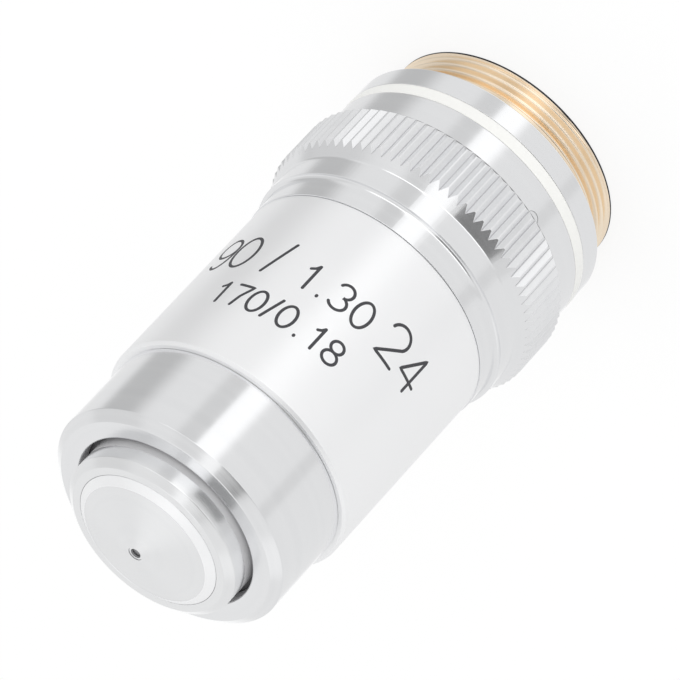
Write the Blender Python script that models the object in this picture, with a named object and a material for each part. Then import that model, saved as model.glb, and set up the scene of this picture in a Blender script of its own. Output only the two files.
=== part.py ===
"""Spring-loaded oil immersion microscope objective, built at real size.

Metres, +Z up. The objective stands on the rim of its screw thread: the rim is at
z = 0, the optical axis is the Z axis, and the front lens looks up along +Z. The
shoulder above the thread is the seat against a nosepiece. The nose, with all of
the lenses, is one sprung barrel that is pushed back along -Z when it meets a slide.
"""

import math

import bmesh
import bpy
from mathutils import Matrix

MM = 0.001

# Clearances between neighbouring pieces
SEAM = 0.12 * MM  # hairline joint that shows on the outside, and cement between lenses
FIT = 0.30 * MM  # hidden screwed or seated fit
SLIDE = 0.20 * MM  # running fit of the sprung barrel, on the radius

# Thread mount
THREAD_RADIUS = 10.16 * MM  # crests of the 20.32 mm objective thread
THREAD_LENGTH = 3.10 * MM
THREAD_LEAD = 0.30 * MM  # chamfer on the rim
THREAD_RELIEF = 0.60 * MM  # turned relief between the thread and the shoulder
THREAD_RUNOUT = 0.15 * MM
THREAD_DEPTH = 0.57 * MM  # from the crests to the relief and the mount's body
MOUNT_WALL = 0.99 * MM

# Shoulder ring with its colour ring and lock pin
SHOULDER_CHAMFER = 0.25 * MM
SHOULDER_LAND = 2.56 * MM  # plain land between the colour ring and the knurl
SPIGOT_WALL = 0.96 * MM
SPIGOT_STEP = 0.58 * MM  # from the spigot out to the land
SPIGOT_LENGTH = 3.65 * MM  # hidden under the knurled collar's skirt
COLOUR_RING_HEIGHT = 2.07 * MM  # from the seat to the groove
COLOUR_RING_WIDTH = 1.32 * MM
COLOUR_RING_DEPTH = 0.35 * MM
LOCK_PIN_RADIUS = 0.60 * MM
LOCK_PIN_ANGLE = math.radians(-115.0)

# Knurled collar
KNURL_TEETH = 84
SKIRT_WALL = 0.95 * MM  # from the skirt's bore to the crests
KNURL_DEPTH = 0.36 * MM
KNURL_CREST = 0.16 * MM  # flat left on top of each tooth
KNURL_LENGTH = 5.30 * MM  # from the rear edge to the foot of the chamfer
CHAMFER_SLOPE = 0.85  # axial run of the knurl's front chamfer per radial run
REAR_CHAMFER_SLOPE = 0.66  # and of its rear chamfer, which ends at the roots
BAND_STEP = 0.56 * MM  # plain band next to the knurl, above the barrel
BAND_LENGTH = 1.90 * MM
FRONT_BAND_STEP = 0.46 * MM  # plain band next to the barrel, above it
FRONT_BAND_LENGTH = 1.50 * MM
FRONT_BAND_CHAMFER = 0.08 * MM
GROOVE_WIDTH = 0.65 * MM
GROOVE_DEPTH = 0.24 * MM
GROOVE_FLANK = 0.12 * MM

# Satin barrel
BARREL_WALL = 0.85 * MM
BARREL_LENGTH = 17.95 * MM
BARREL_CHAMFER = 0.22 * MM

# Front collar
FRONT_COLLAR_WALL = 0.82 * MM
FRONT_COLLAR_LENGTH = 7.66 * MM
FRONT_CHAMFER_WIDTH = 0.77 * MM
FRONT_CHAMFER_HEIGHT = 0.65 * MM
FRONT_LIP = 1.25 * MM  # thickness of the lip that stops the sprung barrel
OPENING_CLEARANCE = 0.41 * MM  # open ring round the nose

# Sprung barrel
NOSE_STEP = 2.10 * MM  # nose shoulder above the front collar's face
NOSE_CHAMFER_WIDTH = 0.66 * MM
NOSE_CHAMFER_HEIGHT = 0.50 * MM
NOSE_POCKET = 2.65 * MM  # depth of the front cell's pocket
NOSE_TRAVEL = 2.00 * MM
SPRUNG_WALL = 1.56 * MM  # round the lens cells
POCKET_WALL = 1.22 * MM  # round the front cell
FLANGE_LENGTH = 2.40 * MM
SPRUNG_TAIL = 1.30 * MM  # length behind the lens stack

# Guide tube, spring and guide screw
GUIDE_NECK_WALL = 0.64 * MM
GUIDE_NECK_LENGTH = 4.20 * MM
GUIDE_OVERRUN = 2.90 * MM  # behind the sprung barrel when it is pushed back
GUIDE_FRONT_WALL = 0.45 * MM
SPRING_ROOM = 14.90 * MM  # from the spring seat to the flange at rest
SPRING_WIRE = 0.60 * MM
SPRING_CLEARANCE = 0.27 * MM  # beside the wire, towards the barrel and the tube
SPRING_TURNS = 8
SPRING_END_PITCH = 0.72 * MM
SCREW_DROP = 5.00 * MM  # behind the spring seat
SCREW_RADIUS = 0.80 * MM
SCREW_HEAD_RADIUS = 1.30 * MM
SCREW_HEAD_LENGTH = 0.80 * MM
SCREW_HEAD_SINK = 0.14 * MM  # below the outside of the guide tube
SCREW_SLOT_WIDTH = 0.30 * MM
SCREW_SLOT_DEPTH = 0.35 * MM
SLOT_DEPTH = 0.96 * MM  # of the slot in the sprung barrel
SLOT_SIDE_CLEARANCE = 0.15 * MM

# Front cell and front lens
BEVEL_WIDTH = 0.72 * MM
BEVEL_RISE = 0.45 * MM
CONE_RISE = 1.15 * MM
APERTURE_RADIUS = 0.68 * MM
APERTURE_LIP = 0.25 * MM
FRONT_LENS_RADIUS = 0.98 * MM
FRONT_LENS_CURVE = 1.00 * MM
FRONT_LENS_RIM = 0.25 * MM
FRONT_LENS_TUNNEL = 1.20 * MM
CELL_MOUTH_RADIUS = 4.40 * MM
CELL_MOUTH_DEPTH = 0.60 * MM

# Lens cells and spacers, in order from the nose
MENISCUS_CELL_LENGTH = 3.50 * MM
FRONT_SPACER_LENGTH = 3.50 * MM
MIDDLE_CELL_LENGTH = 5.50 * MM
MIDDLE_SPACER_LENGTH = 5.50 * MM
REAR_CELL_LENGTH = 5.50 * MM
RETAINER_LENGTH = 2.00 * MM
CELL_LIP = 0.60 * MM
CELL_LIP_OVERLAP = 0.40 * MM
SPACER_WALL = 1.30 * MM
RETAINER_WALL = 2.00 * MM
MENISCUS_CELL_WALL = 2.88 * MM
MENISCUS_HOLLOW = 0.50 * MM  # depth of its front surface
MENISCUS_BULGE = 1.10 * MM  # rise of its rear surface
MENISCUS_RIM = 0.60 * MM
MIDDLE_CELL_WALL = 2.08 * MM
MIDDLE_FRONT_BULGE = 0.81 * MM
MIDDLE_CEMENT_BULGE = 1.17 * MM
REAR_CELL_WALL = 1.58 * MM
REAR_FRONT_BULGE = 0.84 * MM
REAR_CEMENT_BULGE = 1.23 * MM
FLINT_HOLLOW = 0.35 * MM
CROWN_RIM = 0.80 * MM
FLINT_CENTRE = 0.80 * MM

# Rear of the bore
GLARE_STOP_THICKNESS = 0.60 * MM
GLARE_STOP_APERTURE = 1.95 * MM  # radius of the image-side light cone there
HEIGHT_RING_THICKNESS = 1.60 * MM
HEIGHT_RING_WALL = 2.30 * MM
KEY_SLOT_WIDTH = 1.20 * MM
KEY_SLOT_DEPTH = 0.70 * MM

# Radii that follow from the thread and the walls, inwards and then outwards
MOUNT_RADIUS = THREAD_RADIUS - THREAD_DEPTH
MOUNT_BORE = MOUNT_RADIUS - MOUNT_WALL
GUIDE_NECK_RADIUS = MOUNT_BORE - FIT
BEARING_RADIUS = GUIDE_NECK_RADIUS - GUIDE_NECK_WALL
NOSE_RADIUS = BEARING_RADIUS - SLIDE
POCKET_RADIUS = NOSE_RADIUS - POCKET_WALL
CELL_RADIUS = POCKET_RADIUS - SEAM
CONE_RADIUS = CELL_RADIUS - BEVEL_WIDTH
SPRUNG_BORE = NOSE_RADIUS - SPRUNG_WALL
CELL_OUTER = SPRUNG_BORE - FIT
MENISCUS_RADIUS = CELL_OUTER - MENISCUS_CELL_WALL - SEAM
MIDDLE_LENS_RADIUS = CELL_OUTER - MIDDLE_CELL_WALL - SEAM
REAR_LENS_RADIUS = CELL_OUTER - REAR_CELL_WALL - SEAM
OPENING_RADIUS = NOSE_RADIUS + OPENING_CLEARANCE
SPRING_RADIUS = NOSE_RADIUS + SPRING_CLEARANCE + SPRING_WIRE / 2
GUIDE_BORE = SPRING_RADIUS + SPRING_WIRE / 2 + SPRING_CLEARANCE
FLANGE_RADIUS = GUIDE_BORE - SLIDE
GUIDE_FRONT_RADIUS = GUIDE_BORE + GUIDE_FRONT_WALL
FRONT_COLLAR_BORE = GUIDE_FRONT_RADIUS + FIT
FRONT_COLLAR_RADIUS = FRONT_COLLAR_BORE + FRONT_COLLAR_WALL
SLEEVE_BORE = MOUNT_RADIUS + FIT
BARREL_RADIUS = SLEEVE_BORE + BARREL_WALL
BAND_RADIUS = BARREL_RADIUS + BAND_STEP
FRONT_BAND_RADIUS = BARREL_RADIUS + FRONT_BAND_STEP
SEAT_BORE = THREAD_RADIUS + SEAM  # inner edge of the seat, clear of the thread
SPIGOT_RADIUS = SLEEVE_BORE + SPIGOT_WALL
SHOULDER_RADIUS = SPIGOT_RADIUS + SPIGOT_STEP
SKIRT_BORE = SPIGOT_RADIUS + FIT
KNURL_RADIUS = SKIRT_BORE + SKIRT_WALL

# Heights along the axis, from the thread rim to the nose, and then back inside
SHOULDER_Z = THREAD_LENGTH + THREAD_RELIEF
COLOUR_RING_Z = SHOULDER_Z + COLOUR_RING_HEIGHT
KNURL_REAR_Z = COLOUR_RING_Z + COLOUR_RING_WIDTH + SHOULDER_LAND
LAND_TOP_Z = KNURL_REAR_Z - SEAM
KNURL_FOOT_Z = KNURL_REAR_Z + KNURL_LENGTH
COLLAR_FRONT_Z = KNURL_FOOT_Z + BAND_LENGTH + GROOVE_WIDTH + FRONT_BAND_LENGTH
BARREL_REAR_Z = COLLAR_FRONT_Z + SEAM
BARREL_FRONT_Z = BARREL_REAR_Z + BARREL_LENGTH
FRONT_COLLAR_REAR_Z = BARREL_FRONT_Z + SEAM
FRONT_FACE_Z = FRONT_COLLAR_REAR_Z + FRONT_COLLAR_LENGTH
LIP_REAR_Z = FRONT_FACE_Z - FRONT_LIP
FLANGE_FRONT_Z = LIP_REAR_Z - FIT
FLANGE_REAR_Z = FLANGE_FRONT_Z - FLANGE_LENGTH
NOSE_Z = FRONT_FACE_Z + NOSE_STEP
CONE_Z = NOSE_Z + BEVEL_RISE
TIP_Z = CONE_Z + CONE_RISE
CELL_SEAT_Z = NOSE_Z - NOSE_POCKET
MENISCUS_CELL_Z = CELL_SEAT_Z - MENISCUS_CELL_LENGTH
FRONT_SPACER_Z = MENISCUS_CELL_Z - FIT - FRONT_SPACER_LENGTH
MIDDLE_CELL_Z = FRONT_SPACER_Z - FIT - MIDDLE_CELL_LENGTH
MIDDLE_SPACER_Z = MIDDLE_CELL_Z - FIT - MIDDLE_SPACER_LENGTH
REAR_CELL_Z = MIDDLE_SPACER_Z - FIT - REAR_CELL_LENGTH
RETAINER_Z = REAR_CELL_Z - FIT - RETAINER_LENGTH
SPRUNG_REAR_Z = RETAINER_Z - SPRUNG_TAIL
SPRING_SEAT_Z = FLANGE_REAR_Z - SPRING_ROOM
SCREW_Z = SPRING_SEAT_Z - SCREW_DROP
GUIDE_REAR_Z = SPRUNG_REAR_Z - NOSE_TRAVEL - GUIDE_OVERRUN
GUIDE_SHOULDER_Z = GUIDE_REAR_Z + GUIDE_NECK_LENGTH
MOUNT_TOP_Z = GUIDE_SHOULDER_Z - FIT
GLARE_STOP_Z = GUIDE_REAR_Z - FIT - GLARE_STOP_THICKNESS
HEIGHT_RING_Z = GLARE_STOP_Z - FIT - HEIGHT_RING_THICKNESS

# Facets round a full turn
OUTER_STEPS = 48
GUIDE_STEPS = 40
CELL_STEPS = 32
LENS_STEPS = 22
PIN_STEPS = 16
ARC_POINTS = 4
SPRING_POINTS_PER_TURN = 14
MERGE_DISTANCE = 1e-7


def clear_scene():
    """Remove every object that is already in the scene."""
    for old in list(bpy.data.objects):
        bpy.data.objects.remove(old, do_unlink=True)


def make_finish(name, colour, roughness, metallic, transmission=0.0):
    """Return a Principled material with one colour and one surface quality."""
    material = bpy.data.materials.new(name)
    material.use_nodes = True
    shader = material.node_tree.nodes["Principled BSDF"]
    shader.inputs["Base Color"].default_value = (*colour, 1.0)
    shader.inputs["Roughness"].default_value = roughness
    shader.inputs["Metallic"].default_value = metallic
    shader.inputs["Transmission Weight"].default_value = transmission
    return material


def chrome(name):
    return make_finish(name + "_chrome", (0.80, 0.81, 0.82), 0.12, 1.0)


def satin_chrome(name):
    return make_finish(name + "_satin", (0.78, 0.79, 0.80), 0.38, 1.0)


def brass(name):
    return make_finish(name + "_brass", (0.86, 0.64, 0.38), 0.25, 1.0)


def blackened(name):
    return make_finish(name + "_black", (0.02, 0.02, 0.022), 0.55, 0.0)


def glass(name):
    return make_finish(name + "_glass", (0.93, 0.96, 0.97), 0.02, 0.0, 1.0)


def steel(name):
    return make_finish(name + "_steel", (0.60, 0.60, 0.61), 0.30, 1.0)


def enamel(name):
    return make_finish(name + "_enamel", (0.93, 0.92, 0.88), 0.35, 0.0)


def add_object(name, data, finish, parent, matrix=None):
    """Link mesh or curve data to the scene as one named piece."""
    piece = bpy.data.objects.new(name, data)
    bpy.context.scene.collection.objects.link(piece)
    if finish is not None:
        data.materials.append(finish(name))
    if matrix is not None:
        piece.matrix_world = matrix
    piece.parent = parent
    return piece


def finish_mesh(name, shape):
    """Merge doubled points, face the walls outward and shade the round parts smooth."""
    bmesh.ops.remove_doubles(shape, verts=shape.verts, dist=MERGE_DISTANCE)
    bmesh.ops.recalc_face_normals(shape, faces=shape.faces)
    data = bpy.data.meshes.new(name)
    shape.to_mesh(data)
    shape.free()
    data.shade_smooth()
    data.set_sharp_from_angle(angle=math.radians(25.0))
    return data


def turned_mesh(name, outline, steps):
    """Turn an outline of (radius, height) points about the Z axis.

    An outline that starts and ends on the axis stays open there, because the turn
    closes it. Any other outline is closed back to its first point.
    """
    shape = bmesh.new()
    points = [shape.verts.new((radius, 0.0, height)) for radius, height in outline]
    pairs = list(zip(points, points[1:]))
    if outline[0][0] > 0.0:
        pairs.append((points[-1], points[0]))
    edges = [shape.edges.new(pair) for pair in pairs]
    bmesh.ops.spin(
        shape,
        geom=points + edges,
        axis=(0.0, 0.0, 1.0),
        cent=(0.0, 0.0, 0.0),
        steps=steps,
        angle=math.tau,
        use_merge=True,
    )
    return finish_mesh(name, shape)


def turned(name, outline, finish, parent, steps=CELL_STEPS):
    """Add one turned piece on the optical axis."""
    return add_object(name, turned_mesh(name, outline, steps), finish, parent)


def cut(piece, cutter):
    """Subtract a cutter from a piece, and keep the cutter as a wire guide."""
    cutter.hide_render = True
    cutter.display_type = "WIRE"
    modifier = piece.modifiers.new(cutter.name, "BOOLEAN")
    modifier.operation = "DIFFERENCE"
    modifier.solver = "EXACT"
    modifier.object = cutter


def box_cutter(name, low, high, matrix=None):
    """Return a box-shaped cutter between two corners."""
    size = [top - bottom for bottom, top in zip(low, high)]
    centre = [(top + bottom) / 2 for bottom, top in zip(low, high)]
    shape = bmesh.new()
    bmesh.ops.create_cube(shape, size=1.0)
    bmesh.ops.scale(shape, vec=size, verts=shape.verts)
    bmesh.ops.translate(shape, vec=centre, verts=shape.verts)
    data = bpy.data.meshes.new(name)
    shape.to_mesh(data)
    shape.free()
    return add_object(name, data, None, None, matrix)


def radial(angle, height):
    """Return a placement that turns local +Z outward at an angle round the axis."""
    outward = Matrix.Rotation(angle, 4, "Z") @ Matrix.Rotation(math.radians(90.0), 4, "Y")
    return Matrix.Translation((0.0, 0.0, height)) @ outward


def sag(curve, radius):
    """Return how far a spherical surface falls back at a radius from its axis."""
    return curve - math.sqrt(curve * curve - radius * radius)


def curve_for(radius, depth):
    """Return the curve of a spherical surface that falls back by a depth at its rim."""
    return (radius * radius + depth * depth) / (2 * depth)


def surface(radius, rim, depth):
    """Return the (radius, height) points of a lens surface from its centre to its rim.

    A positive depth puts the centre above the rim, and a negative one puts it below.
    """
    curve = curve_for(radius, abs(depth))
    lift = math.copysign(1.0, depth)
    reach = [radius * step / ARC_POINTS for step in range(ARC_POINTS + 1)]
    return [(point, rim + depth - lift * sag(curve, point)) for point in reach]


def lens_outline(radius, front_rim, front_depth, rear_rim, rear_depth):
    """Return the outline of a lens from the heights of its rims and its surface depths."""
    return surface(radius, rear_rim, rear_depth) + surface(radius, front_rim, front_depth)[::-1]


def tube_outline(inner, outer, low, high):
    """Return the outline of a plain tube."""
    return [(inner, low), (outer, low), (outer, high), (inner, high)]


def build_mount(parent):
    """Brass tube: objective thread, relief, and the body that carries the rings."""
    thread_end = THREAD_LENGTH - THREAD_RUNOUT
    outline = [
        (MOUNT_BORE, 0.0),
        (THREAD_RADIUS - THREAD_LEAD, 0.0),
        (THREAD_RADIUS, THREAD_LEAD),
        (THREAD_RADIUS, thread_end),
        (MOUNT_RADIUS, THREAD_LENGTH),
        (MOUNT_RADIUS, MOUNT_TOP_Z),
        (MOUNT_BORE, MOUNT_TOP_Z),
    ]
    return turned("thread_mount", outline, brass, parent, OUTER_STEPS)


def build_shoulder_ring(parent):
    """Polished ring: nosepiece seat, colour groove, and a spigot for the collar."""
    groove_high = COLOUR_RING_Z + COLOUR_RING_WIDTH
    groove_floor = SHOULDER_RADIUS - COLOUR_RING_DEPTH
    spigot_top = KNURL_REAR_Z + SPIGOT_LENGTH
    outline = [
        (SLEEVE_BORE, SHOULDER_Z + SEAT_BORE - SLEEVE_BORE),
        (SEAT_BORE, SHOULDER_Z),
        (SHOULDER_RADIUS - SHOULDER_CHAMFER, SHOULDER_Z),
        (SHOULDER_RADIUS, SHOULDER_Z + SHOULDER_CHAMFER),
        (SHOULDER_RADIUS, COLOUR_RING_Z),
        (groove_floor, COLOUR_RING_Z),
        (groove_floor, groove_high),
        (SHOULDER_RADIUS, groove_high),
        (SHOULDER_RADIUS, LAND_TOP_Z),
        (SPIGOT_RADIUS, LAND_TOP_Z),
        (SPIGOT_RADIUS, spigot_top),
        (SLEEVE_BORE, spigot_top),
    ]
    ring = turned("shoulder_ring", outline, chrome, parent, OUTER_STEPS)
    reach = 2 * SHOULDER_RADIUS
    hole = turned(
        "lock_pin_hole",
        [(0.0, 0.0), (LOCK_PIN_RADIUS + SEAM, 0.0), (LOCK_PIN_RADIUS + SEAM, reach), (0.0, reach)],
        None,
        None,
        PIN_STEPS,
    )
    hole.matrix_world = radial(LOCK_PIN_ANGLE, LAND_TOP_Z)
    cut(ring, hole)
    return ring


def build_colour_ring(parent):
    """White magnification ring that fills the shoulder ring's groove."""
    low = COLOUR_RING_Z + SEAM
    high = low + COLOUR_RING_WIDTH - 2 * SEAM
    inner = SHOULDER_RADIUS - COLOUR_RING_DEPTH + SEAM
    outline = tube_outline(inner, SHOULDER_RADIUS, low, high)
    return turned("colour_ring", outline, enamel, parent, OUTER_STEPS)


def build_lock_pin(parent):
    """Radial pin between ring and collar, cut back where the collar's skirt covers it."""
    pin_foot = MOUNT_RADIUS + FIT
    outline = [
        (0.0, pin_foot),
        (LOCK_PIN_RADIUS, pin_foot),
        (LOCK_PIN_RADIUS, SHOULDER_RADIUS),
        (0.0, SHOULDER_RADIUS),
    ]
    pin = turned("lock_pin", outline, chrome, parent, PIN_STEPS)
    pin.matrix_world = radial(LOCK_PIN_ANGLE, LAND_TOP_Z)
    covered = box_cutter(
        "lock_pin_relief",
        (-2 * LOCK_PIN_RADIUS, -2 * LOCK_PIN_RADIUS, SPIGOT_RADIUS),
        (0.0, 2 * LOCK_PIN_RADIUS, 2 * SHOULDER_RADIUS),
        radial(LOCK_PIN_ANGLE, LAND_TOP_Z),
    )
    cut(pin, covered)
    return pin


def knurl_section():
    """Return the (angle, radius) points of the knurl: root, crest and crest per tooth."""
    tooth = math.tau / KNURL_TEETH
    half_crest = KNURL_CREST / KNURL_RADIUS / 2
    root = KNURL_RADIUS - KNURL_DEPTH
    section = []
    for index in range(KNURL_TEETH):
        middle = (index + 0.5) * tooth
        section.append((index * tooth, root))
        section.append((middle - half_crest, KNURL_RADIUS))
        section.append((middle + half_crest, KNURL_RADIUS))
    return section


def plain_loop(shape, radius, height):
    """Add a loop of points with one point at each root of the knurl."""
    turns = [math.tau * index / KNURL_TEETH for index in range(KNURL_TEETH)]
    return [shape.verts.new((radius * math.cos(a), radius * math.sin(a), height)) for a in turns]


def knurl_loop(shape, height_at):
    """Add a loop of points along the knurl's section, at a height set by the radius."""
    return [
        shape.verts.new((radius * math.cos(angle), radius * math.sin(angle), height_at(radius)))
        for angle, radius in knurl_section()
    ]


def join_loops(shape, first, second):
    """Join two loops by faces that each span one tooth of the coarser loop."""
    teeth = min(len(first), len(second))
    for index in range(teeth):
        face = []
        for loop, order in ((first, 1), (second, -1)):
            share = len(loop) // teeth
            run = [loop[(index * share + step) % len(loop)] for step in range(share + 1)]
            face.extend(run[::order])
        shape.faces.new(face)


def build_knurled_collar(parent):
    """Polished collar: skirt, straight V knurl with both ends chamfered, groove and bands."""
    shape = bmesh.new()
    root = KNURL_RADIUS - KNURL_DEPTH
    skirt_top = KNURL_REAR_Z + SPIGOT_LENGTH + FIT
    groove_low = KNURL_FOOT_Z + BAND_LENGTH
    groove_top = groove_low + GROOVE_WIDTH
    groove_floor = FRONT_BAND_RADIUS - GROOVE_DEPTH

    def rear_height(radius):
        return KNURL_REAR_Z + (radius - root) * REAR_CHAMFER_SLOPE

    def front_height(radius):
        return KNURL_FOOT_Z - (radius - BAND_RADIUS) * CHAMFER_SLOPE

    loops = [
        plain_loop(shape, SKIRT_BORE, KNURL_REAR_Z),
        plain_loop(shape, root, KNURL_REAR_Z),
        knurl_loop(shape, rear_height),
        knurl_loop(shape, front_height),
        plain_loop(shape, BAND_RADIUS, KNURL_FOOT_Z),
        plain_loop(shape, BAND_RADIUS, groove_low),
        plain_loop(shape, groove_floor, groove_low + GROOVE_FLANK),
        plain_loop(shape, groove_floor, groove_top - GROOVE_FLANK),
        plain_loop(shape, FRONT_BAND_RADIUS, groove_top),
        plain_loop(shape, FRONT_BAND_RADIUS, COLLAR_FRONT_Z - FRONT_BAND_CHAMFER),
        plain_loop(shape, FRONT_BAND_RADIUS - FRONT_BAND_CHAMFER, COLLAR_FRONT_Z),
        plain_loop(shape, SLEEVE_BORE, COLLAR_FRONT_Z),
        plain_loop(shape, SLEEVE_BORE, skirt_top),
        plain_loop(shape, SKIRT_BORE, skirt_top),
    ]
    for first, second in zip(loops, loops[1:] + loops[:1]):
        if len(first) == len(second) == 3 * KNURL_TEETH:
            count = len(first)
            for index in range(count):
                following = (index + 1) % count
                shape.faces.new((first[index], first[following], second[following], second[index]))
        else:
            join_loops(shape, first, second)
    return add_object("knurled_collar", finish_mesh("knurled_collar", shape), chrome, parent)


def build_barrel_sleeve(parent):
    """Satin outer barrel, clamped between the knurled collar and the front collar."""
    outline = [
        (SLEEVE_BORE, BARREL_REAR_Z),
        (BARREL_RADIUS, BARREL_REAR_Z),
        (BARREL_RADIUS, BARREL_FRONT_Z - BARREL_CHAMFER),
        (BARREL_RADIUS - BARREL_CHAMFER, BARREL_FRONT_Z),
        (SLEEVE_BORE, BARREL_FRONT_Z),
    ]
    return turned("barrel_sleeve", outline, satin_chrome, parent, OUTER_STEPS)


def build_front_collar(parent):
    """Polished front collar: screwed on the guide tube, with the lip that stops the nose."""
    outline = [
        (FRONT_COLLAR_BORE, FRONT_COLLAR_REAR_Z),
        (FRONT_COLLAR_RADIUS, FRONT_COLLAR_REAR_Z),
        (FRONT_COLLAR_RADIUS, FRONT_FACE_Z - FRONT_CHAMFER_HEIGHT),
        (FRONT_COLLAR_RADIUS - FRONT_CHAMFER_WIDTH, FRONT_FACE_Z),
        (OPENING_RADIUS, FRONT_FACE_Z),
        (OPENING_RADIUS, LIP_REAR_Z),
        (FRONT_COLLAR_BORE, LIP_REAR_Z),
    ]
    return turned("front_collar", outline, chrome, parent, OUTER_STEPS)


def build_guide_tube(parent):
    """Tube that guides the sprung barrel, seats the spring and carries the front collar."""
    thread_rear = FRONT_COLLAR_REAR_Z - FIT
    outline = [
        (BEARING_RADIUS, GUIDE_REAR_Z),
        (GUIDE_NECK_RADIUS, GUIDE_REAR_Z),
        (GUIDE_NECK_RADIUS, GUIDE_SHOULDER_Z),
        (MOUNT_RADIUS, GUIDE_SHOULDER_Z),
        (MOUNT_RADIUS, thread_rear),
        (GUIDE_FRONT_RADIUS, thread_rear),
        (GUIDE_FRONT_RADIUS, FLANGE_FRONT_Z),
        (GUIDE_BORE, FLANGE_FRONT_Z),
        (GUIDE_BORE, SPRING_SEAT_Z),
        (BEARING_RADIUS, SPRING_SEAT_Z),
    ]
    tube = turned("guide_tube", outline, brass, parent, GUIDE_STEPS)
    head_floor = MOUNT_RADIUS - SCREW_HEAD_SINK - SCREW_HEAD_LENGTH - FIT
    reach = 2 * MOUNT_RADIUS
    hole = turned(
        "guide_screw_hole",
        [
            (0.0, 0.0),
            (SCREW_RADIUS + SLOT_SIDE_CLEARANCE, 0.0),
            (SCREW_RADIUS + SLOT_SIDE_CLEARANCE, head_floor),
            (SCREW_HEAD_RADIUS + SLOT_SIDE_CLEARANCE, head_floor),
            (SCREW_HEAD_RADIUS + SLOT_SIDE_CLEARANCE, reach),
            (0.0, reach),
        ],
        None,
        None,
        PIN_STEPS,
    )
    hole.matrix_world = radial(0.0, SCREW_Z)
    cut(tube, hole)
    return tube


def build_guide_screw(parent):
    """Slotted screw whose tip runs in the sprung barrel's slot and stops it turning."""
    head_top = MOUNT_RADIUS - SCREW_HEAD_SINK
    head_floor = head_top - SCREW_HEAD_LENGTH
    tip = NOSE_RADIUS - SLOT_DEPTH + FIT
    outline = [
        (0.0, tip),
        (SCREW_RADIUS, tip),
        (SCREW_RADIUS, head_floor),
        (SCREW_HEAD_RADIUS, head_floor),
        (SCREW_HEAD_RADIUS, head_top),
        (0.0, head_top),
    ]
    screw = turned("guide_screw", outline, steel, parent, PIN_STEPS)
    screw.matrix_world = radial(0.0, SCREW_Z)
    driver_slot = box_cutter(
        "guide_screw_driver_slot",
        (-SCREW_SLOT_WIDTH / 2, -2 * SCREW_HEAD_RADIUS, head_top - SCREW_SLOT_DEPTH),
        (SCREW_SLOT_WIDTH / 2, 2 * SCREW_HEAD_RADIUS, 2 * head_top),
        radial(0.0, SCREW_Z),
    )
    cut(screw, driver_slot)
    return screw


def spring_height(turn):
    """Return the height of the wire's centre after a number of turns."""
    low = SPRING_SEAT_Z + FIT + SPRING_WIRE / 2
    high = FLANGE_REAR_Z - FIT - SPRING_WIRE / 2
    pitch = (high - low - 2 * SPRING_END_PITCH) / (SPRING_TURNS - 2)
    if turn <= 1:
        return low + SPRING_END_PITCH * turn
    if turn >= SPRING_TURNS - 1:
        return high - SPRING_END_PITCH * (SPRING_TURNS - turn)
    return low + SPRING_END_PITCH + pitch * (turn - 1)


def build_nose_spring(parent):
    """Compression spring round the sprung barrel, with closed end turns."""
    path = bpy.data.curves.new("nose_spring", "CURVE")
    path.dimensions = "3D"
    path.bevel_depth = SPRING_WIRE / 2
    path.bevel_resolution = 1
    path.use_fill_caps = True
    count = SPRING_TURNS * SPRING_POINTS_PER_TURN
    line = path.splines.new("POLY")
    line.points.add(count)
    for index, point in enumerate(line.points):
        turn = index / SPRING_POINTS_PER_TURN
        angle = math.tau * turn
        x = SPRING_RADIUS * math.cos(angle)
        y = SPRING_RADIUS * math.sin(angle)
        point.co = (x, y, spring_height(turn), 1.0)
    return add_object("nose_spring", path, steel, parent)


def build_slide_barrel(parent):
    """Sprung barrel: nose, stop flange, bore for the lens cells, and the guide slot."""
    outline = [
        (SPRUNG_BORE, SPRUNG_REAR_Z),
        (NOSE_RADIUS, SPRUNG_REAR_Z),
        (NOSE_RADIUS, FLANGE_REAR_Z),
        (FLANGE_RADIUS, FLANGE_REAR_Z),
        (FLANGE_RADIUS, FLANGE_FRONT_Z),
        (NOSE_RADIUS, FLANGE_FRONT_Z),
        (NOSE_RADIUS, NOSE_Z - NOSE_CHAMFER_HEIGHT),
        (NOSE_RADIUS - NOSE_CHAMFER_WIDTH, NOSE_Z),
        (POCKET_RADIUS, NOSE_Z),
        (POCKET_RADIUS, CELL_SEAT_Z),
        (SPRUNG_BORE, CELL_SEAT_Z),
    ]
    barrel = turned("slide_barrel", outline, chrome, parent, GUIDE_STEPS)
    half_width = SCREW_RADIUS + SLOT_SIDE_CLEARANCE
    slot = box_cutter(
        "slide_barrel_slot_cutter",
        (NOSE_RADIUS - SLOT_DEPTH, -half_width, SCREW_Z - SCREW_RADIUS - FIT),
        (2 * NOSE_RADIUS, half_width, SCREW_Z + SCREW_RADIUS + NOSE_TRAVEL + FIT),
    )
    cut(barrel, slot)
    return barrel


def build_front_cell(parent):
    """Conical nose cap that holds the front lens, open behind it for the light cone."""
    rear = CELL_SEAT_Z + FIT
    pocket_top = TIP_Z - APERTURE_LIP
    pocket_radius = FRONT_LENS_RADIUS + SEAM
    outline = [
        (CELL_MOUTH_RADIUS, rear),
        (CELL_RADIUS, rear),
        (CELL_RADIUS, NOSE_Z),
        (CONE_RADIUS, CONE_Z),
        (APERTURE_RADIUS, TIP_Z),
        (APERTURE_RADIUS, pocket_top),
        (pocket_radius, pocket_top),
        (pocket_radius, pocket_top - FRONT_LENS_TUNNEL),
        (CELL_MOUTH_RADIUS, rear + CELL_MOUTH_DEPTH),
    ]
    return turned("front_cell", outline, satin_chrome, parent, GUIDE_STEPS)


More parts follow.
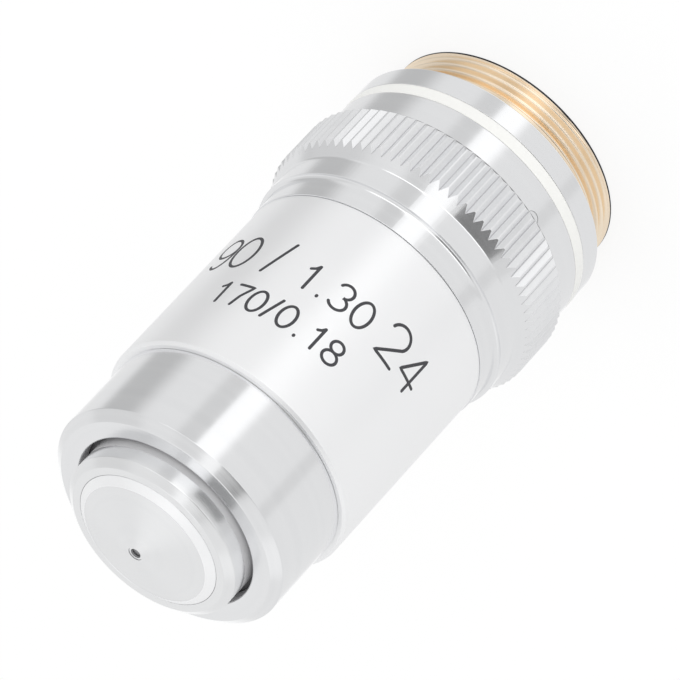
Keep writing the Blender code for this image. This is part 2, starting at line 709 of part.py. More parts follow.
def build_front_lens(parent):
    """Half-ball front lens behind the nose aperture."""
    front = TIP_Z - APERTURE_LIP - SEAM
    bowl = sag(FRONT_LENS_CURVE, FRONT_LENS_RADIUS)
    rear = front - FRONT_LENS_RIM - bowl
    shares = [step / ARC_POINTS for step in range(ARC_POINTS + 1)]
    dome = []
    for share in shares:
        turn = share * math.asin(FRONT_LENS_RADIUS / FRONT_LENS_CURVE)
        radius = FRONT_LENS_CURVE * math.sin(turn)
        dome.append((radius, rear + sag(FRONT_LENS_CURVE, radius)))
    outline = dome + [(FRONT_LENS_RADIUS, front), (0.0, front)]
    return turned("front_lens", outline, glass, parent, LENS_STEPS)


def build_lens_cell(name, low, length, lens_radius, parent):
    """Blackened cell with a lip in front of its lens seat."""
    high = low + length
    seat = high - CELL_LIP
    bore = lens_radius + SEAM
    outline = [
        (bore, low),
        (CELL_OUTER, low),
        (CELL_OUTER, high),
        (lens_radius - CELL_LIP_OVERLAP, high),
        (lens_radius - CELL_LIP_OVERLAP, seat),
        (bore, seat),
    ]
    turned(name, outline, blackened, parent)
    return seat


def build_meniscus(parent):
    """Meniscus cell with its lens, hollow side towards the nose."""
    seat = build_lens_cell(
        "meniscus_cell", MENISCUS_CELL_Z, MENISCUS_CELL_LENGTH, MENISCUS_RADIUS, parent
    )
    rim = seat - SEAM
    outline = lens_outline(
        MENISCUS_RADIUS, rim, -MENISCUS_HOLLOW, rim - MENISCUS_RIM, -MENISCUS_BULGE
    )
    turned("meniscus_lens", outline, glass, parent, LENS_STEPS)


def build_doublet(prefix, low, length, radius, front_bulge, cement_bulge, parent):
    """Cell with a crown and a flint lens, cemented, and the crown against the cell's lip."""
    seat = build_lens_cell(prefix + "_cell", low, length, radius, parent)
    lip_edge = sag(curve_for(radius, front_bulge), radius - CELL_LIP_OVERLAP)
    crown_rim = seat - SEAM + lip_edge - front_bulge
    cement_rim = crown_rim - CROWN_RIM
    crown = lens_outline(radius, crown_rim, front_bulge, cement_rim, -cement_bulge)
    turned(prefix + "_crown", crown, glass, parent, LENS_STEPS)
    flint_rim = cement_rim - SEAM
    flint_rear = flint_rim - cement_bulge - FLINT_CENTRE - FLINT_HOLLOW
    flint = lens_outline(radius, flint_rim, -cement_bulge, flint_rear, FLINT_HOLLOW)
    turned(prefix + "_flint", flint, glass, parent, LENS_STEPS)


def build_spacer(name, low, length, parent):
    """Blackened distance tube between two cells."""
    outline = tube_outline(CELL_OUTER - SPACER_WALL, CELL_OUTER, low, low + length)
    return turned(name, outline, blackened, parent)


def build_key_ring(name, outer, wall, low, thickness, finish, parent):
    """Threaded ring with two key slots across its rear face."""
    ring = turned(name, tube_outline(outer - wall, outer, low, low + thickness), finish, parent)
    slots = box_cutter(
        name + "_key_slots",
        (-2 * outer, -KEY_SLOT_WIDTH / 2, low - thickness),
        (2 * outer, KEY_SLOT_WIDTH / 2, low + KEY_SLOT_DEPTH),
    )
    cut(ring, slots)
    return ring


def build_glare_stop(parent):
    """Blackened disc with the exit aperture, behind the guide tube."""
    outline = tube_outline(
        GLARE_STOP_APERTURE, GUIDE_NECK_RADIUS, GLARE_STOP_Z, GLARE_STOP_Z + GLARE_STOP_THICKNESS
    )
    return turned("glare_stop", outline, blackened, parent, GUIDE_STEPS)


def build_lens_stack(parent):
    """Cells, lenses and spacers in the sprung barrel, from the nose back."""
    build_meniscus(parent)
    build_spacer("spacer_front", FRONT_SPACER_Z, FRONT_SPACER_LENGTH, parent)
    build_doublet(
        "middle",
        MIDDLE_CELL_Z,
        MIDDLE_CELL_LENGTH,
        MIDDLE_LENS_RADIUS,
        MIDDLE_FRONT_BULGE,
        MIDDLE_CEMENT_BULGE,
        parent,
    )
    build_spacer("spacer_middle", MIDDLE_SPACER_Z, MIDDLE_SPACER_LENGTH, parent)
    build_doublet(
        "rear",
        REAR_CELL_Z,
        REAR_CELL_LENGTH,
        REAR_LENS_RADIUS,
        REAR_FRONT_BULGE,
        REAR_CEMENT_BULGE,
        parent,
    )
    build_key_ring(
        "stack_retainer", CELL_OUTER, RETAINER_WALL, RETAINER_Z, RETAINER_LENGTH, blackened, parent
    )


def build_housing(parent):
    """Pieces that stay fixed to the nosepiece."""
    build_mount(parent)
    build_shoulder_ring(parent)
    build_colour_ring(parent)
    build_lock_pin(parent)
    build_knurled_collar(parent)
    build_barrel_sleeve(parent)
    build_front_collar(parent)
    build_guide_tube(parent)
    build_guide_screw(parent)
    build_nose_spring(parent)
    build_glare_stop(parent)
    build_key_ring(
        "height_lock_ring",
        GUIDE_NECK_RADIUS,
        HEIGHT_RING_WALL,
        HEIGHT_RING_Z,
        HEIGHT_RING_THICKNESS,
        blackened,
        parent,
    )


def build_sprung_barrel(parent):
    """Pieces that slide back together when the nose is pressed."""
    build_slide_barrel(parent)
    build_front_cell(parent)
    build_front_lens(parent)
    build_lens_stack(parent)


def main():
    clear_scene()
    housing = add_object("housing", None, None, None)
    sprung = add_object("sprung_barrel", None, None, housing)
    build_housing(housing)
    build_sprung_barrel(sprung)


main()
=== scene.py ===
"""Looks of a spring-loaded oil immersion microscope objective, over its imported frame.

Every turned piece that shows is made again here as a fine mesh with broken edges, at the
place of its node in the frame. The collar's front end and bands and the thread follow the
photograph more closely than their nodes do. The pieces that are sealed inside keep their
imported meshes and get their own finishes. Metres, +Z up, standing on the thread's rim.
"""

import logging
import math
from contextlib import contextmanager
from dataclasses import dataclass, field
from enum import Enum
from typing import Callable, Iterator, Sequence

import bmesh
import bpy
from mathutils import Matrix, Vector


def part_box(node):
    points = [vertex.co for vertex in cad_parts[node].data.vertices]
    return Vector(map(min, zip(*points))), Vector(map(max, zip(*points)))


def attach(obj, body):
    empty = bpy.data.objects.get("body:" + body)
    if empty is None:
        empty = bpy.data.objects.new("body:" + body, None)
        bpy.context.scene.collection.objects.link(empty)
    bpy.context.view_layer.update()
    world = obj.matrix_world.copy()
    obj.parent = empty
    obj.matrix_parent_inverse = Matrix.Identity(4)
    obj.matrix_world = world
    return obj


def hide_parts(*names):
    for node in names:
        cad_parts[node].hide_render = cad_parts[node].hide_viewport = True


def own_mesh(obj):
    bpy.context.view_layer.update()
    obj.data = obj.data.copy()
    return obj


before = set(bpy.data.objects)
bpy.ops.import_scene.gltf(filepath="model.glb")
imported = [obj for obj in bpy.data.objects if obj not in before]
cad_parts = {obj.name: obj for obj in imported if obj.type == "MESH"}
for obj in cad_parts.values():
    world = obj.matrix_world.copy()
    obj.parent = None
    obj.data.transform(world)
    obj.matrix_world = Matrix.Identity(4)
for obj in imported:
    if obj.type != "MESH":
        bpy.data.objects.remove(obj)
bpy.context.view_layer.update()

MM = 0.001
TO_MM = 1 / MM
TO_DEGREES = 180 / math.pi
LOG = logging.getLogger("objective")

Point = tuple[float, float, float]
Flat = tuple[float, float]
Stroke = list[Flat]
Colour = tuple[float, float, float]
NodeLink = bpy.types.NodeSocket
Mesh = bpy.types.Mesh


class Body(Enum):
    """Bodies of the frame that a piece can ride on."""

    HOUSING = "housing"
    SPRUNG = "sprung_barrel"


class Slot(Enum):
    """Finishes that the record names."""

    THREAD_BRASS = "thread_brass"
    TURNED_BRASS = "turned_brass"
    BRIGHT_CHROME = "bright_chrome"
    SATIN_CHROME = "satin_chrome"
    RING_ENAMEL = "ring_enamel"
    BLACK_OXIDE = "black_oxide"
    SPRING_STEEL = "spring_steel"
    OPTICAL_GLASS = "optical_glass"


@dataclass(frozen=True)
class Span:
    """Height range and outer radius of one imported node."""

    low: float
    high: float
    radius: float

    @classmethod
    def of(cls, node: str) -> "Span":
        """Read a node's span from the frame.

        Args:
            node: name of the node.

        Returns:
            Its span.
        """
        low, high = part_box(node)
        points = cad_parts[node].data.vertices
        return cls(low.z, high.z, max(math.hypot(point.co.x, point.co.y) for point in points))


def packed(node: str) -> Span:
    """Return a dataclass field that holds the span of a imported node."""
    return field(default_factory=lambda: Span.of(node))


# Shader helpers

class Tree:
    """Short ways to add and link the nodes of one shader tree."""

    def __init__(self, tree: bpy.types.NodeTree) -> None:
        """Keep the tree that nodes are added to."""
        self.tree = tree

    def add(self, kind: str, **settings: object) -> bpy.types.Node:
        """Add a node and set its properties.

        Args:
            kind: type name of the node, without the leading ShaderNode.
            settings: property names with their values.

        Returns:
            The new node.
        """
        node = self.tree.nodes.new("ShaderNode" + kind)
        for name, value in settings.items():
            setattr(node, name, value)
        return node

    def feed(self, socket: NodeLink, value: object) -> None:
        """Link an output to a socket, or set the socket to a plain value.

        Args:
            socket: the socket to feed.
            value: an output, a colour or a number.
        """
        if isinstance(value, NodeLink):
            self.tree.links.new(value, socket)
        elif isinstance(value, tuple):
            socket.default_value = (*value, 1.0)
        else:
            socket.default_value = value

    def feed_all(self, node: bpy.types.Node, values: dict) -> None:
        """Feed several inputs of a node.

        Args:
            node: the node.
            values: what to feed, by the name or the number of the input.
        """
        for place, value in values.items():
            self.feed(node.inputs[place], value)

    def math(self, operation: str, *values: object) -> NodeLink:
        """Add a Math node.

        Args:
            operation: name of the operation, such as ADD.
            values: links or numbers for its inputs, in order.

        Returns:
            The node's output.
        """
        node = self.add("Math", operation=operation)
        for socket, value in zip(node.inputs, values):
            self.feed(socket, value)
        return node.outputs[0]

    def blend(self, factor: object, first: object, second: object) -> NodeLink:
        """Mix two numbers, or two colours when the first one is a plain colour.

        Args:
            factor: share of the second value.
            first: value at a factor of 0.
            second: value at a factor of 1.

        Returns:
            The mixed value.
        """
        coloured = isinstance(first, tuple)
        node = self.add("Mix", data_type="RGBA" if coloured else "FLOAT")
        start = 6 if coloured else 2
        self.feed_all(node, {0: factor, start: first, start + 1: second})
        return node.outputs[2 if coloured else 0]

    def ramp(self, value: object, low: float, high: float) -> NodeLink:
        """Add a smooth step.

        Args:
            value: the number that drives it.
            low: where the step is still 0.
            high: where it is 1.

        Returns:
            The step.
        """
        node = self.add("MapRange", interpolation_type="SMOOTHSTEP")
        self.feed_all(node, {"Value": value, "From Min": low, "From Max": high})
        return node.outputs["Result"]

    def noise(self, place: NodeLink, scale: object, detail: float) -> NodeLink:
        """Add noise in space, or along one line when the place is a number.

        Args:
            place: a position or a number.
            scale: fineness of the noise.
            detail: number of octaves.

        Returns:
            The noise from 0 to 1.
        """
        along_line = place.type == "VALUE"
        node = self.add("TexNoise", noise_dimensions="1D" if along_line else "3D", normalize=True)
        start = "W" if along_line else "Vector"
        self.feed_all(node, {start: place, "Scale": scale, "Detail": detail})
        return node.outputs[0]

    def group(self, group: bpy.types.NodeTree, **values: float) -> bpy.types.Node:
        """Place a node group.

        Args:
            group: the group to place.
            values: its input values by name.

        Returns:
            The group node.
        """
        node = self.add("Group", node_tree=group)
        self.feed_all(node, values)
        return node

    def bump(self, shader: bpy.types.Node, height: NodeLink, depth: float) -> None:
        """Feed a height into a shader's normal.

        Args:
            shader: the Principled shader.
            height: the height from 0 to 1.
            depth: the height's full depth in metres.
        """
        bump = self.add("Bump")
        self.feed_all(bump, {"Strength": 1.0, "Distance": depth, "Height": height})
        self.feed(shader.inputs["Normal"], bump.outputs[0])


class SurfaceGroups:
    """Node groups for the surface effects that several finishes share, each built once."""

    TURNING = "turning_lines"
    GRAIN = "blasted_grain"
    BROAD_SHARE = 0.21

    @staticmethod
    def start(name: str, inputs: Sequence[str],
              outputs: Sequence[str]) -> tuple[Tree, dict[str, NodeLink], bpy.types.Node, NodeLink]:
        """Make an empty group with float sockets.

        Args:
            name: name of the group.
            inputs: names of its inputs.
            outputs: names of its outputs.

        Returns:
            The group's tree, its inputs by name, its output node, and the place on the
            object.
        """
        group = bpy.data.node_groups.new(name, "ShaderNodeTree")
        for side, names in (("INPUT", inputs), ("OUTPUT", outputs)):
            for socket in names:
                group.interface.new_socket(socket, in_out=side, socket_type="NodeSocketFloat")
        tree = Tree(group)
        inward = dict(group.nodes.new("NodeGroupInput").outputs.items())
        outward = group.nodes.new("NodeGroupOutput")
        return tree, inward, outward, tree.add("TexCoord").outputs["Object"]

    @classmethod
    def turning(cls) -> bpy.types.NodeTree:
        """Return the group for the rings that a lathe tool leaves.

        Returns:
            A group with Lines and Drift in, and Height, Streak, Smear and the radius in
            millimetres out.
        """
        if cls.TURNING in bpy.data.node_groups:
            return bpy.data.node_groups[cls.TURNING]
        names = ("Height", "Streak", "Smear", "Radius")
        tree, inward, outward, place = cls.start(cls.TURNING, ("Lines", "Drift"), names)
        parts = tree.add("SeparateXYZ")
        tree.feed(parts.inputs[0], place)
        x, y, z = parts.outputs
        squares = [tree.math("MULTIPLY", part, part) for part in (x, y)]
        radius = tree.math("SQRT", tree.math("ADD", *squares))
        along = tree.math("MULTIPLY", tree.math("SUBTRACT", z, radius), TO_MM)
        broad = tree.math("MULTIPLY", inward["Lines"], cls.BROAD_SHARE)
        results = (
            tree.noise(along, inward["Lines"], detail=3.0),
            tree.noise(along, broad, detail=1.0),
            tree.noise(place, inward["Drift"], detail=2.0),
            tree.math("MULTIPLY", radius, TO_MM),
        )
        tree.feed_all(outward, dict(zip(names, results)))
        return tree.tree

    @classmethod
    def grain(cls) -> bpy.types.NodeTree:
        """Return the group for the fine grain of a blasted or enamelled surface.

        Returns:
            A group with Grains and Patches in, and Height and Patch out.
        """
        if cls.GRAIN in bpy.data.node_groups:
            return bpy.data.node_groups[cls.GRAIN]
        names = ("Height", "Patch")
        tree, inward, outward, place = cls.start(cls.GRAIN, ("Grains", "Patches"), names)
        tree.feed_all(outward, {
            "Height": tree.noise(place, inward["Grains"], detail=2.0),
            "Patch": tree.noise(place, inward["Patches"], detail=1.0),
        })
        return tree.tree


def start_material(name: str) -> tuple[bpy.types.Material, Tree, bpy.types.Node]:
    """Make a material.

    Args:
        name: its name.

    Returns:
        The material, its tree and its Principled shader.
    """
    material = bpy.data.materials.new(name)
    material.use_nodes = True
    return material, Tree(material.node_tree), material.node_tree.nodes["Principled BSDF"]


# Finishes

@dataclass(frozen=True)
class Finish:
    """What every finish has: its name, the record's finish, two tones and a roughness.

    The spread is how far the roughness goes to either side with the wear.
    """

    name: str
    slot: Slot
    colour: Colour
    shade: Colour
    roughness: float
    spread: float = 0.05

    def material(self) -> bpy.types.Material:
        """Return the finish as a material, made on first use.

        Returns:
            The material.
        """
        if self.name not in bpy.data.materials:
            _, tree, shader = start_material(self.name)
            self.fill(tree, shader)
        return bpy.data.materials[self.name]

    def worn(self, tree: Tree, wear: NodeLink) -> NodeLink:
        """Return the roughness at a wear of 0 to 1."""
        return tree.blend(wear, self.roughness - self.spread, self.roughness + self.spread)

    def fill(self, tree: Tree, shader: bpy.types.Node) -> None:
        """Feed the Principled shader, as each kind of finish does in its own way."""
        raise NotImplementedError


@dataclass(frozen=True)
class PaintedHollowTone:
    """Painted tone in the cuts of a knurl (painted shade) and of a thread (painted light), full up to
    one radius and gone by a second.
    """

    colour: Colour
    full_paint_radius: float
    unpainted_radius: float


@dataclass(frozen=True)
class TurnedMetal(Finish):
    """Metal cut on a lathe: fine rings, and reflections drawn out across them."""

    spread: float = 0.06
    anisotropy: float = 0.70
    across_the_rings: float = 0.25
    lines_per_mm: float = 5.0
    line_depth: float = 0.0012 * MM
    drift_scale: float = 90.0
    painted_hollow: PaintedHollowTone | None = None

    def fill(self, tree: Tree, shader: bpy.types.Node) -> None:
        """Feed the Principled shader.

        Args:
            tree: the material's tree.
            shader: its Principled shader.
        """
        rings = tree.group(SurfaceGroups.turning(), Lines=self.lines_per_mm, Drift=self.drift_scale)
        streak, smear = rings.outputs["Streak"], rings.outputs["Smear"]
        colour = tree.blend(streak, self.shade, self.colour)
        # The cuts get the painted tone: painted shade in a knurl's roots, painted light in a thread's
        # roots.
        if self.painted_hollow is not None:
            low, high = self.painted_hollow.full_paint_radius * TO_MM, self.painted_hollow.unpainted_radius * TO_MM
            unpainted = tree.ramp(rings.outputs["Radius"], low, high)
            colour = tree.blend(unpainted, self.painted_hollow.colour, colour)
        wear = tree.math("MULTIPLY", tree.math("ADD", streak, smear), 0.5)
        tangent = tree.add("Tangent", direction_type="RADIAL", axis="Z")
        tree.feed_all(shader, {
            "Base Color": colour,
            "Roughness": self.worn(tree, wear),
            "Metallic": 1.0,
            "Anisotropic": self.anisotropy,
            "Anisotropic Rotation": self.across_the_rings,
            "Tangent": tangent.outputs[0],
        })
        tree.bump(shader, rings.outputs["Height"], self.line_depth)


@dataclass(frozen=True)
class GrainedSkin(Finish):
    """Blasted metal, paint, enamel or black oxide: a skin with an even, fine grain."""

    metallic: float = 0.0
    grain_scale: float = 5000.0
    patch_scale: float = 300.0
    grain_depth: float = 0.002 * MM

    def fill(self, tree: Tree, shader: bpy.types.Node) -> None:
        """Feed the Principled shader.

        Args:
            tree: the material's tree.
            shader: its Principled shader.
        """
        grain = tree.group(SurfaceGroups.grain(), Grains=self.grain_scale, Patches=self.patch_scale)
        patch = grain.outputs["Patch"]
        tree.feed_all(shader, {
            "Base Color": tree.blend(patch, self.shade, self.colour),
            "Roughness": self.worn(tree, patch),
            "Metallic": self.metallic,
        })
        if self.grain_depth > 0.0:
            tree.bump(shader, grain.outputs["Height"], self.grain_depth)


@dataclass(frozen=True)
class CoatedGlass(GrainedSkin):
    """Polished lens glass, without a grain, with a faint coating tint in patches."""

    spread: float = 0.01
    patch_scale: float = 120.0
    grain_depth: float = 0.0
    clear: float = 1.0
    index: float = 1.52

    def fill(self, tree: Tree, shader: bpy.types.Node) -> None:
        """Feed the Principled shader.

        Args:
            tree: the material's tree.
            shader: its Principled shader.
        """
        super().fill(tree, shader)
        tree.feed_all(shader, {"IOR": self.index, "Transmission Weight": self.clear})


CHROME = (0.885, 0.890, 0.900)
CHROME_SHADE = (0.850, 0.856, 0.868)
SMOOTH_COAT = {"grain_scale": 1500.0, "grain_depth": 0.0005 * MM}
# Painted shade: grey in the knurl's roots, where the shade between the teeth falls.
KNURL_ROOT_PAINTED_SHADE = PaintedHollowTone((0.60, 0.60, 0.61), 11.735 * MM, 11.780 * MM)
# Painted light: a paler tone in the thread's roots, lifting the shade and deepened colour in the
# grooves.
THREAD_ROOT_PAINTED_LIGHT = PaintedHollowTone((0.98, 0.90, 0.79), 9.70 * MM, 9.84 * MM)

POLISHED = TurnedMetal("bright_turned_chrome", Slot.BRIGHT_CHROME, CHROME, CHROME_SHADE, 0.17)
KNURL_METAL = TurnedMetal("bright_knurled_chrome", Slot.BRIGHT_CHROME, CHROME, CHROME_SHADE, 0.34,
                          anisotropy=0.20, painted_hollow=KNURL_ROOT_PAINTED_SHADE)
NOSE_METAL = TurnedMetal("fine_turned_nose", Slot.BRIGHT_CHROME,
                         (0.890, 0.895, 0.902), (0.858, 0.864, 0.874), 0.22)
THREAD_BRASS = TurnedMetal("cut_thread_brass", Slot.THREAD_BRASS,
                           (0.990, 0.865, 0.700), (0.930, 0.765, 0.575), 0.22,
                           anisotropy=0.30, painted_hollow=THREAD_ROOT_PAINTED_LIGHT)
PLAIN_BRASS = TurnedMetal("turned_tube_brass", Slot.TURNED_BRASS,
                          (0.860, 0.640, 0.380), (0.760, 0.540, 0.300), 0.26)
STEEL = TurnedMetal("spring_steel", Slot.SPRING_STEEL,
                    (0.620, 0.620, 0.630), (0.520, 0.520, 0.535), 0.28)
SATIN = GrainedSkin("satin_chrome_barrel", Slot.SATIN_CHROME,
                    (0.960, 0.963, 0.970), (0.944, 0.948, 0.957), 0.39, metallic=0.75,
                    spread=0.04, grain_scale=9000.0, patch_scale=160.0, grain_depth=0.007 * MM)
ENAMEL = GrainedSkin("white_ring_enamel", Slot.RING_ENAMEL,
                     (0.930, 0.930, 0.905), (0.905, 0.905, 0.880), 0.34)
ENGRAVING_FILL = GrainedSkin("engraving_fill", Slot.BLACK_OXIDE,
                             (0.050, 0.050, 0.056), (0.036, 0.036, 0.042), 0.50)
# Black oxide of the cells and the hidden walls; on the thread's rim the same black is painted shade.
BLACK_OXIDE_AND_RIM_SHADE = GrainedSkin("black_oxide", Slot.BLACK_OXIDE,
                        (0.026, 0.026, 0.029), (0.018, 0.018, 0.020), 0.50, **SMOOTH_COAT)
DULL_BORE = GrainedSkin("dull_lens_tunnel", Slot.SATIN_CHROME,
                        (0.36, 0.36, 0.37), (0.30, 0.30, 0.31), 0.45, **SMOOTH_COAT)
# Painted light: pale matt grey in place of chrome on the walls of the gap round the nose, standing in
# for light bounced into the gap.
PAINTED_GAP_LIGHT = GrainedSkin("painted_gap_light_wall", Slot.BRIGHT_CHROME,
                        (0.680, 0.680, 0.690), (0.620, 0.620, 0.630), 0.40)
# Painted shade: dark grey on the knurl's rear face, where the shadow between collar and land falls, and
# on the nose flange's front face in the gap.
PAINTED_SHADE_GREY = GrainedSkin("painted_shade_grey", Slot.BLACK_OXIDE,
                        (0.170, 0.170, 0.176), (0.140, 0.140, 0.145), 0.50)
LENS_GLASS = CoatedGlass("coated_optical_glass", Slot.OPTICAL_GLASS,
                         (0.950, 0.965, 0.975), (0.930, 0.955, 0.960), 0.02)
# Painted shade: the front lens is grey and mostly opaque, standing in for the dark interior seen
# through it.
FRONT_GLASS = CoatedGlass("front_lens_glass", Slot.OPTICAL_GLASS,
                          (0.460, 0.460, 0.470), (0.400, 0.400, 0.410), 0.02, clear=0.30)


# Mesh helpers

TURN_STEPS = 256
EASE_STEPS = 6
GUARD = 0.02 * MM
GUARD_ROOM = 3
LONGEST_EASE = 0.45
SAME_PLACE = 1e-8
CLOSE_BY = 1e-7
NO_LENGTH = 1e-9
SHARP_ANGLE = math.radians(20.0)
UNMOVED = Matrix.Identity(4)


@dataclass(frozen=True)
class Corner:
    """One corner of a turned outline, and the wall that leaves it.

    The ease is how far back along both walls the corner is broken. The skin is the
    number of the finish on the wall from this corner to the next one.
    """

    radius: float
    height: float
    ease: float = 0.0
    skin: int = 0


def curve(start: Vector, middle: Vector, stop: Vector, steps: int) -> list[Vector]:
    """Return the points of a curve that leaves and meets two walls, which cross in the middle."""
    shares = [step / steps for step in range(steps + 1)]
    return [start.lerp(middle, s).lerp(middle.lerp(stop, s), s) for s in shares]


def eased(corners: Sequence[Corner], closed: bool = True) -> list[Corner]:
    """Break the corners of an outline, and hold the walls beside them flat.

    Args:
        corners: the outline, inner low side first and going up the outside.
        closed: whether the last corner joins the first.

    Returns:
        The points of the outline, with arcs at the eased corners.
    """
    points: list[Corner] = []
    count = len(corners)
    for index, corner in enumerate(corners):
        if corner.ease == 0.0 or (not closed and index in (0, count - 1)):
            points.append(corner)
            continue
        here = Vector((corner.radius, corner.height))
        before, after = corners[index - 1], corners[(index + 1) % count]
        back = Vector((before.radius, before.height)) - here
        ahead = Vector((after.radius, after.height)) - here
        reach = min(corner.ease, LONGEST_EASE * min(back.length, ahead.length))
        start, stop = here + back.normalized() * reach, here + ahead.normalized() * reach
        if back.length > GUARD_ROOM * (reach + GUARD):
            guard = start + back.normalized() * GUARD
            points.append(Corner(guard.x, guard.y, skin=before.skin))
        for step, place in enumerate(curve(start, here, stop, EASE_STEPS)):
            skin = corner.skin if 2 * step > EASE_STEPS else before.skin
            points.append(Corner(place.x, place.y, skin=skin))
        if ahead.length > GUARD_ROOM * (reach + GUARD):
            guard = stop + ahead.normalized() * GUARD
            points.append(Corner(guard.x, guard.y, skin=corner.skin))
    return points


@contextmanager
def edited(mesh: Mesh) -> Iterator[bmesh.types.BMesh]:
    """Open a mesh for editing, and write it back at the end.

    Args:
        mesh: the mesh to edit, which may be empty.

    Yields:
        Its editable form.
    """
    shape = bmesh.new()
    shape.from_mesh(mesh)
    yield shape
    shape.to_mesh(mesh)
    shape.free()


def new_mesh(name: str, points: Sequence[Point], faces: Sequence[Sequence[int]]) -> Mesh:
    """Make a mesh of points and faces.

    Args:
        name: its name.
        points: its points.
        faces: for each face, the numbers of its points.

    Returns:
        The mesh.
    """
    mesh = bpy.data.meshes.new(name)
    mesh.from_pydata(points, [], faces)
    return mesh


def shaded(mesh: Mesh) -> Mesh:
    """Shade the round parts of a mesh smooth.

    Args:
        mesh: the mesh, which is changed.

    Returns:
        The same mesh.
    """
    mesh.shade_smooth()
    mesh.set_sharp_from_angle(angle=SHARP_ANGLE)
    return mesh


def merge(shape: bmesh.types.BMesh) -> None:
    """Merge doubled points and drop empty faces."""
    bmesh.ops.remove_doubles(shape, verts=shape.verts, dist=SAME_PLACE)
    bmesh.ops.dissolve_degenerate(shape, edges=shape.edges, dist=NO_LENGTH)


def tidy_mesh(mesh: Mesh) -> Mesh:
    """Merge the doubled points of a mesh, turn its faces outward and shade it.

    Args:
        mesh: the mesh, which is changed.

    Returns:
        The same mesh.
    """
    with edited(mesh) as shape:
        merge(shape)
        bmesh.ops.recalc_face_normals(shape, faces=shape.faces)
    return shaded(mesh)


def circle(radius: float, height: float, steps: int = TURN_STEPS) -> list[Point]:
    """Return a ring of points about the Z axis, or one point if it lies on the axis.

    Args:
        radius: its radius.
        height: its height.
        steps: number of points.

    Returns:
        The points.
    """
    if radius < NO_LENGTH:
        return [(0.0, 0.0, height)]
    turns = [math.tau * step / steps for step in range(steps)]
    return [(radius * math.cos(a), radius * math.sin(a), height) for a in turns]


def loft(name: str, rings: Sequence[Sequence[Point]], skins: Sequence[int],
         closed: bool = True) -> Mesh:
    """Skin a series of rings into a mesh.

    Args:
        name: name of the mesh.
        rings: the rings, each with as many points as the others, or with one.
        skins: for each ring, the finish number of the band that follows it.
        closed: whether the last ring joins the first.

    Returns:
        The smooth-shaded mesh.
    """
    starts = [sum(map(len, rings[:index])) for index in range(len(rings))]
    faces: list[list[int]] = []
    numbers: list[int] = []
    for index in range(len(rings) if closed else len(rings) - 1):
        following = (index + 1) % len(rings)
        low, high = len(rings[index]), len(rings[following])
        steps = max(low, high)
        for step in range(steps):
            ahead = (step + 1) % steps
            face = list(dict.fromkeys((
                starts[index] + step % low,
                starts[index] + ahead % low,
                starts[following] + ahead % high,
                starts[following] + step % high,
            )))
            if len(face) > 2:
                faces.append(face)
                numbers.append(skins[index])
    mesh = new_mesh(name, [point for ring in rings for point in ring], faces)
    mesh.polygons.foreach_set("material_index", numbers)
    return tidy_mesh(mesh)


def lathe(name: str, corners: Sequence[Corner], steps: int = TURN_STEPS,
          closed: bool = True) -> Mesh:
    """Turn an outline about the Z axis.

    Args:
        name: name of the mesh.
        corners: the outline, inner low side first and going up the outside.
        steps: faces round a full turn.
        closed: whether the last corner joins the first.

    Returns:
        The turned mesh.
    """
    points = eased(corners, closed)
    rings = [circle(point.radius, point.height, steps) for point in points]
    return loft(name, rings, [point.skin for point in points], closed)


def box_mesh(name: str, low: Point, high: Point) -> Mesh:
    """Return a closed box.

    Args:
        name: name of the mesh.
        low: its lowest corner.
        high: its highest corner.

    Returns:
        The box.
    """
    mesh = bpy.data.meshes.new(name)
    with edited(mesh) as shape:
        bmesh.ops.create_cube(shape, size=1.0)
        bmesh.ops.scale(shape, vec=Vector(high) - Vector(low), verts=shape.verts)
        bmesh.ops.translate(shape, vec=(Vector(high) + Vector(low)) / 2, verts=shape.verts)
    return mesh


def radial(angle: float, height: float) -> Matrix:
    """Return a placement that turns local +Z outward at an angle round the axis."""
    outward = Matrix.Rotation(angle, 4, "Z") @ Matrix.Rotation(math.radians(90.0), 4, "Y")
    return Matrix.Translation((0.0, 0.0, height)) @ outward


def link(name: str, data: object) -> bpy.types.Object:
    """Link a new object to the scene.

    Args:
        name: its name.
        data: its mesh, lamp or camera.

    Returns:
        The object.
    """
    thing = bpy.data.objects.new(name, data)
    bpy.context.scene.collection.objects.link(thing)
    return thing


def cut(piece: bpy.types.Object, cutter: Mesh, place: Matrix = UNMOVED,
        operation: str = "DIFFERENCE") -> None:
    """Cut or join a mesh with another one and keep only the result.

    Args:
        piece: the object to change.
        cutter: the other mesh, in its own coordinates.
        place: where the other mesh stands.
        operation: DIFFERENCE or UNION.
    """
    tool = link("tool", cutter)
    tool.matrix_world = place
    modifier = piece.modifiers.new("cut", "BOOLEAN")
    modifier.operation = operation
    modifier.solver = "EXACT"
    modifier.object = tool
    bpy.context.view_layer.update()
    shown = piece.evaluated_get(bpy.context.evaluated_depsgraph_get())
    result = bpy.data.meshes.new_from_object(shown)
    piece.modifiers.remove(modifier)
    piece.data = result
    bpy.data.objects.remove(tool, do_unlink=True)
    shaded(result)


def make_object(name: str, mesh: Mesh, *finishes: Finish) -> bpy.types.Object:
    """Link a mesh to the scene with its finishes.

    Args:
        name: name of the piece.
        mesh: its mesh.
        finishes: its finishes, in the order of its skin numbers.

    Returns:
        The piece.
    """
    piece = link(name, mesh)
    for finish in finishes:
        mesh.materials.append(finish.material())
    return piece


def dress(piece: bpy.types.Object, body: Body, slot: Slot, *nodes: str) -> None:
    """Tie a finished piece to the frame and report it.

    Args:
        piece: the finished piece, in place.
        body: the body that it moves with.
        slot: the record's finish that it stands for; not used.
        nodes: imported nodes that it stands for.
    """
    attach(piece, body.value)
    if nodes:
        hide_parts(*nodes)
    LOG.info("%s: %d faces on %s", piece.name, len(piece.data.polygons), body.value)


# Sub-assemblies

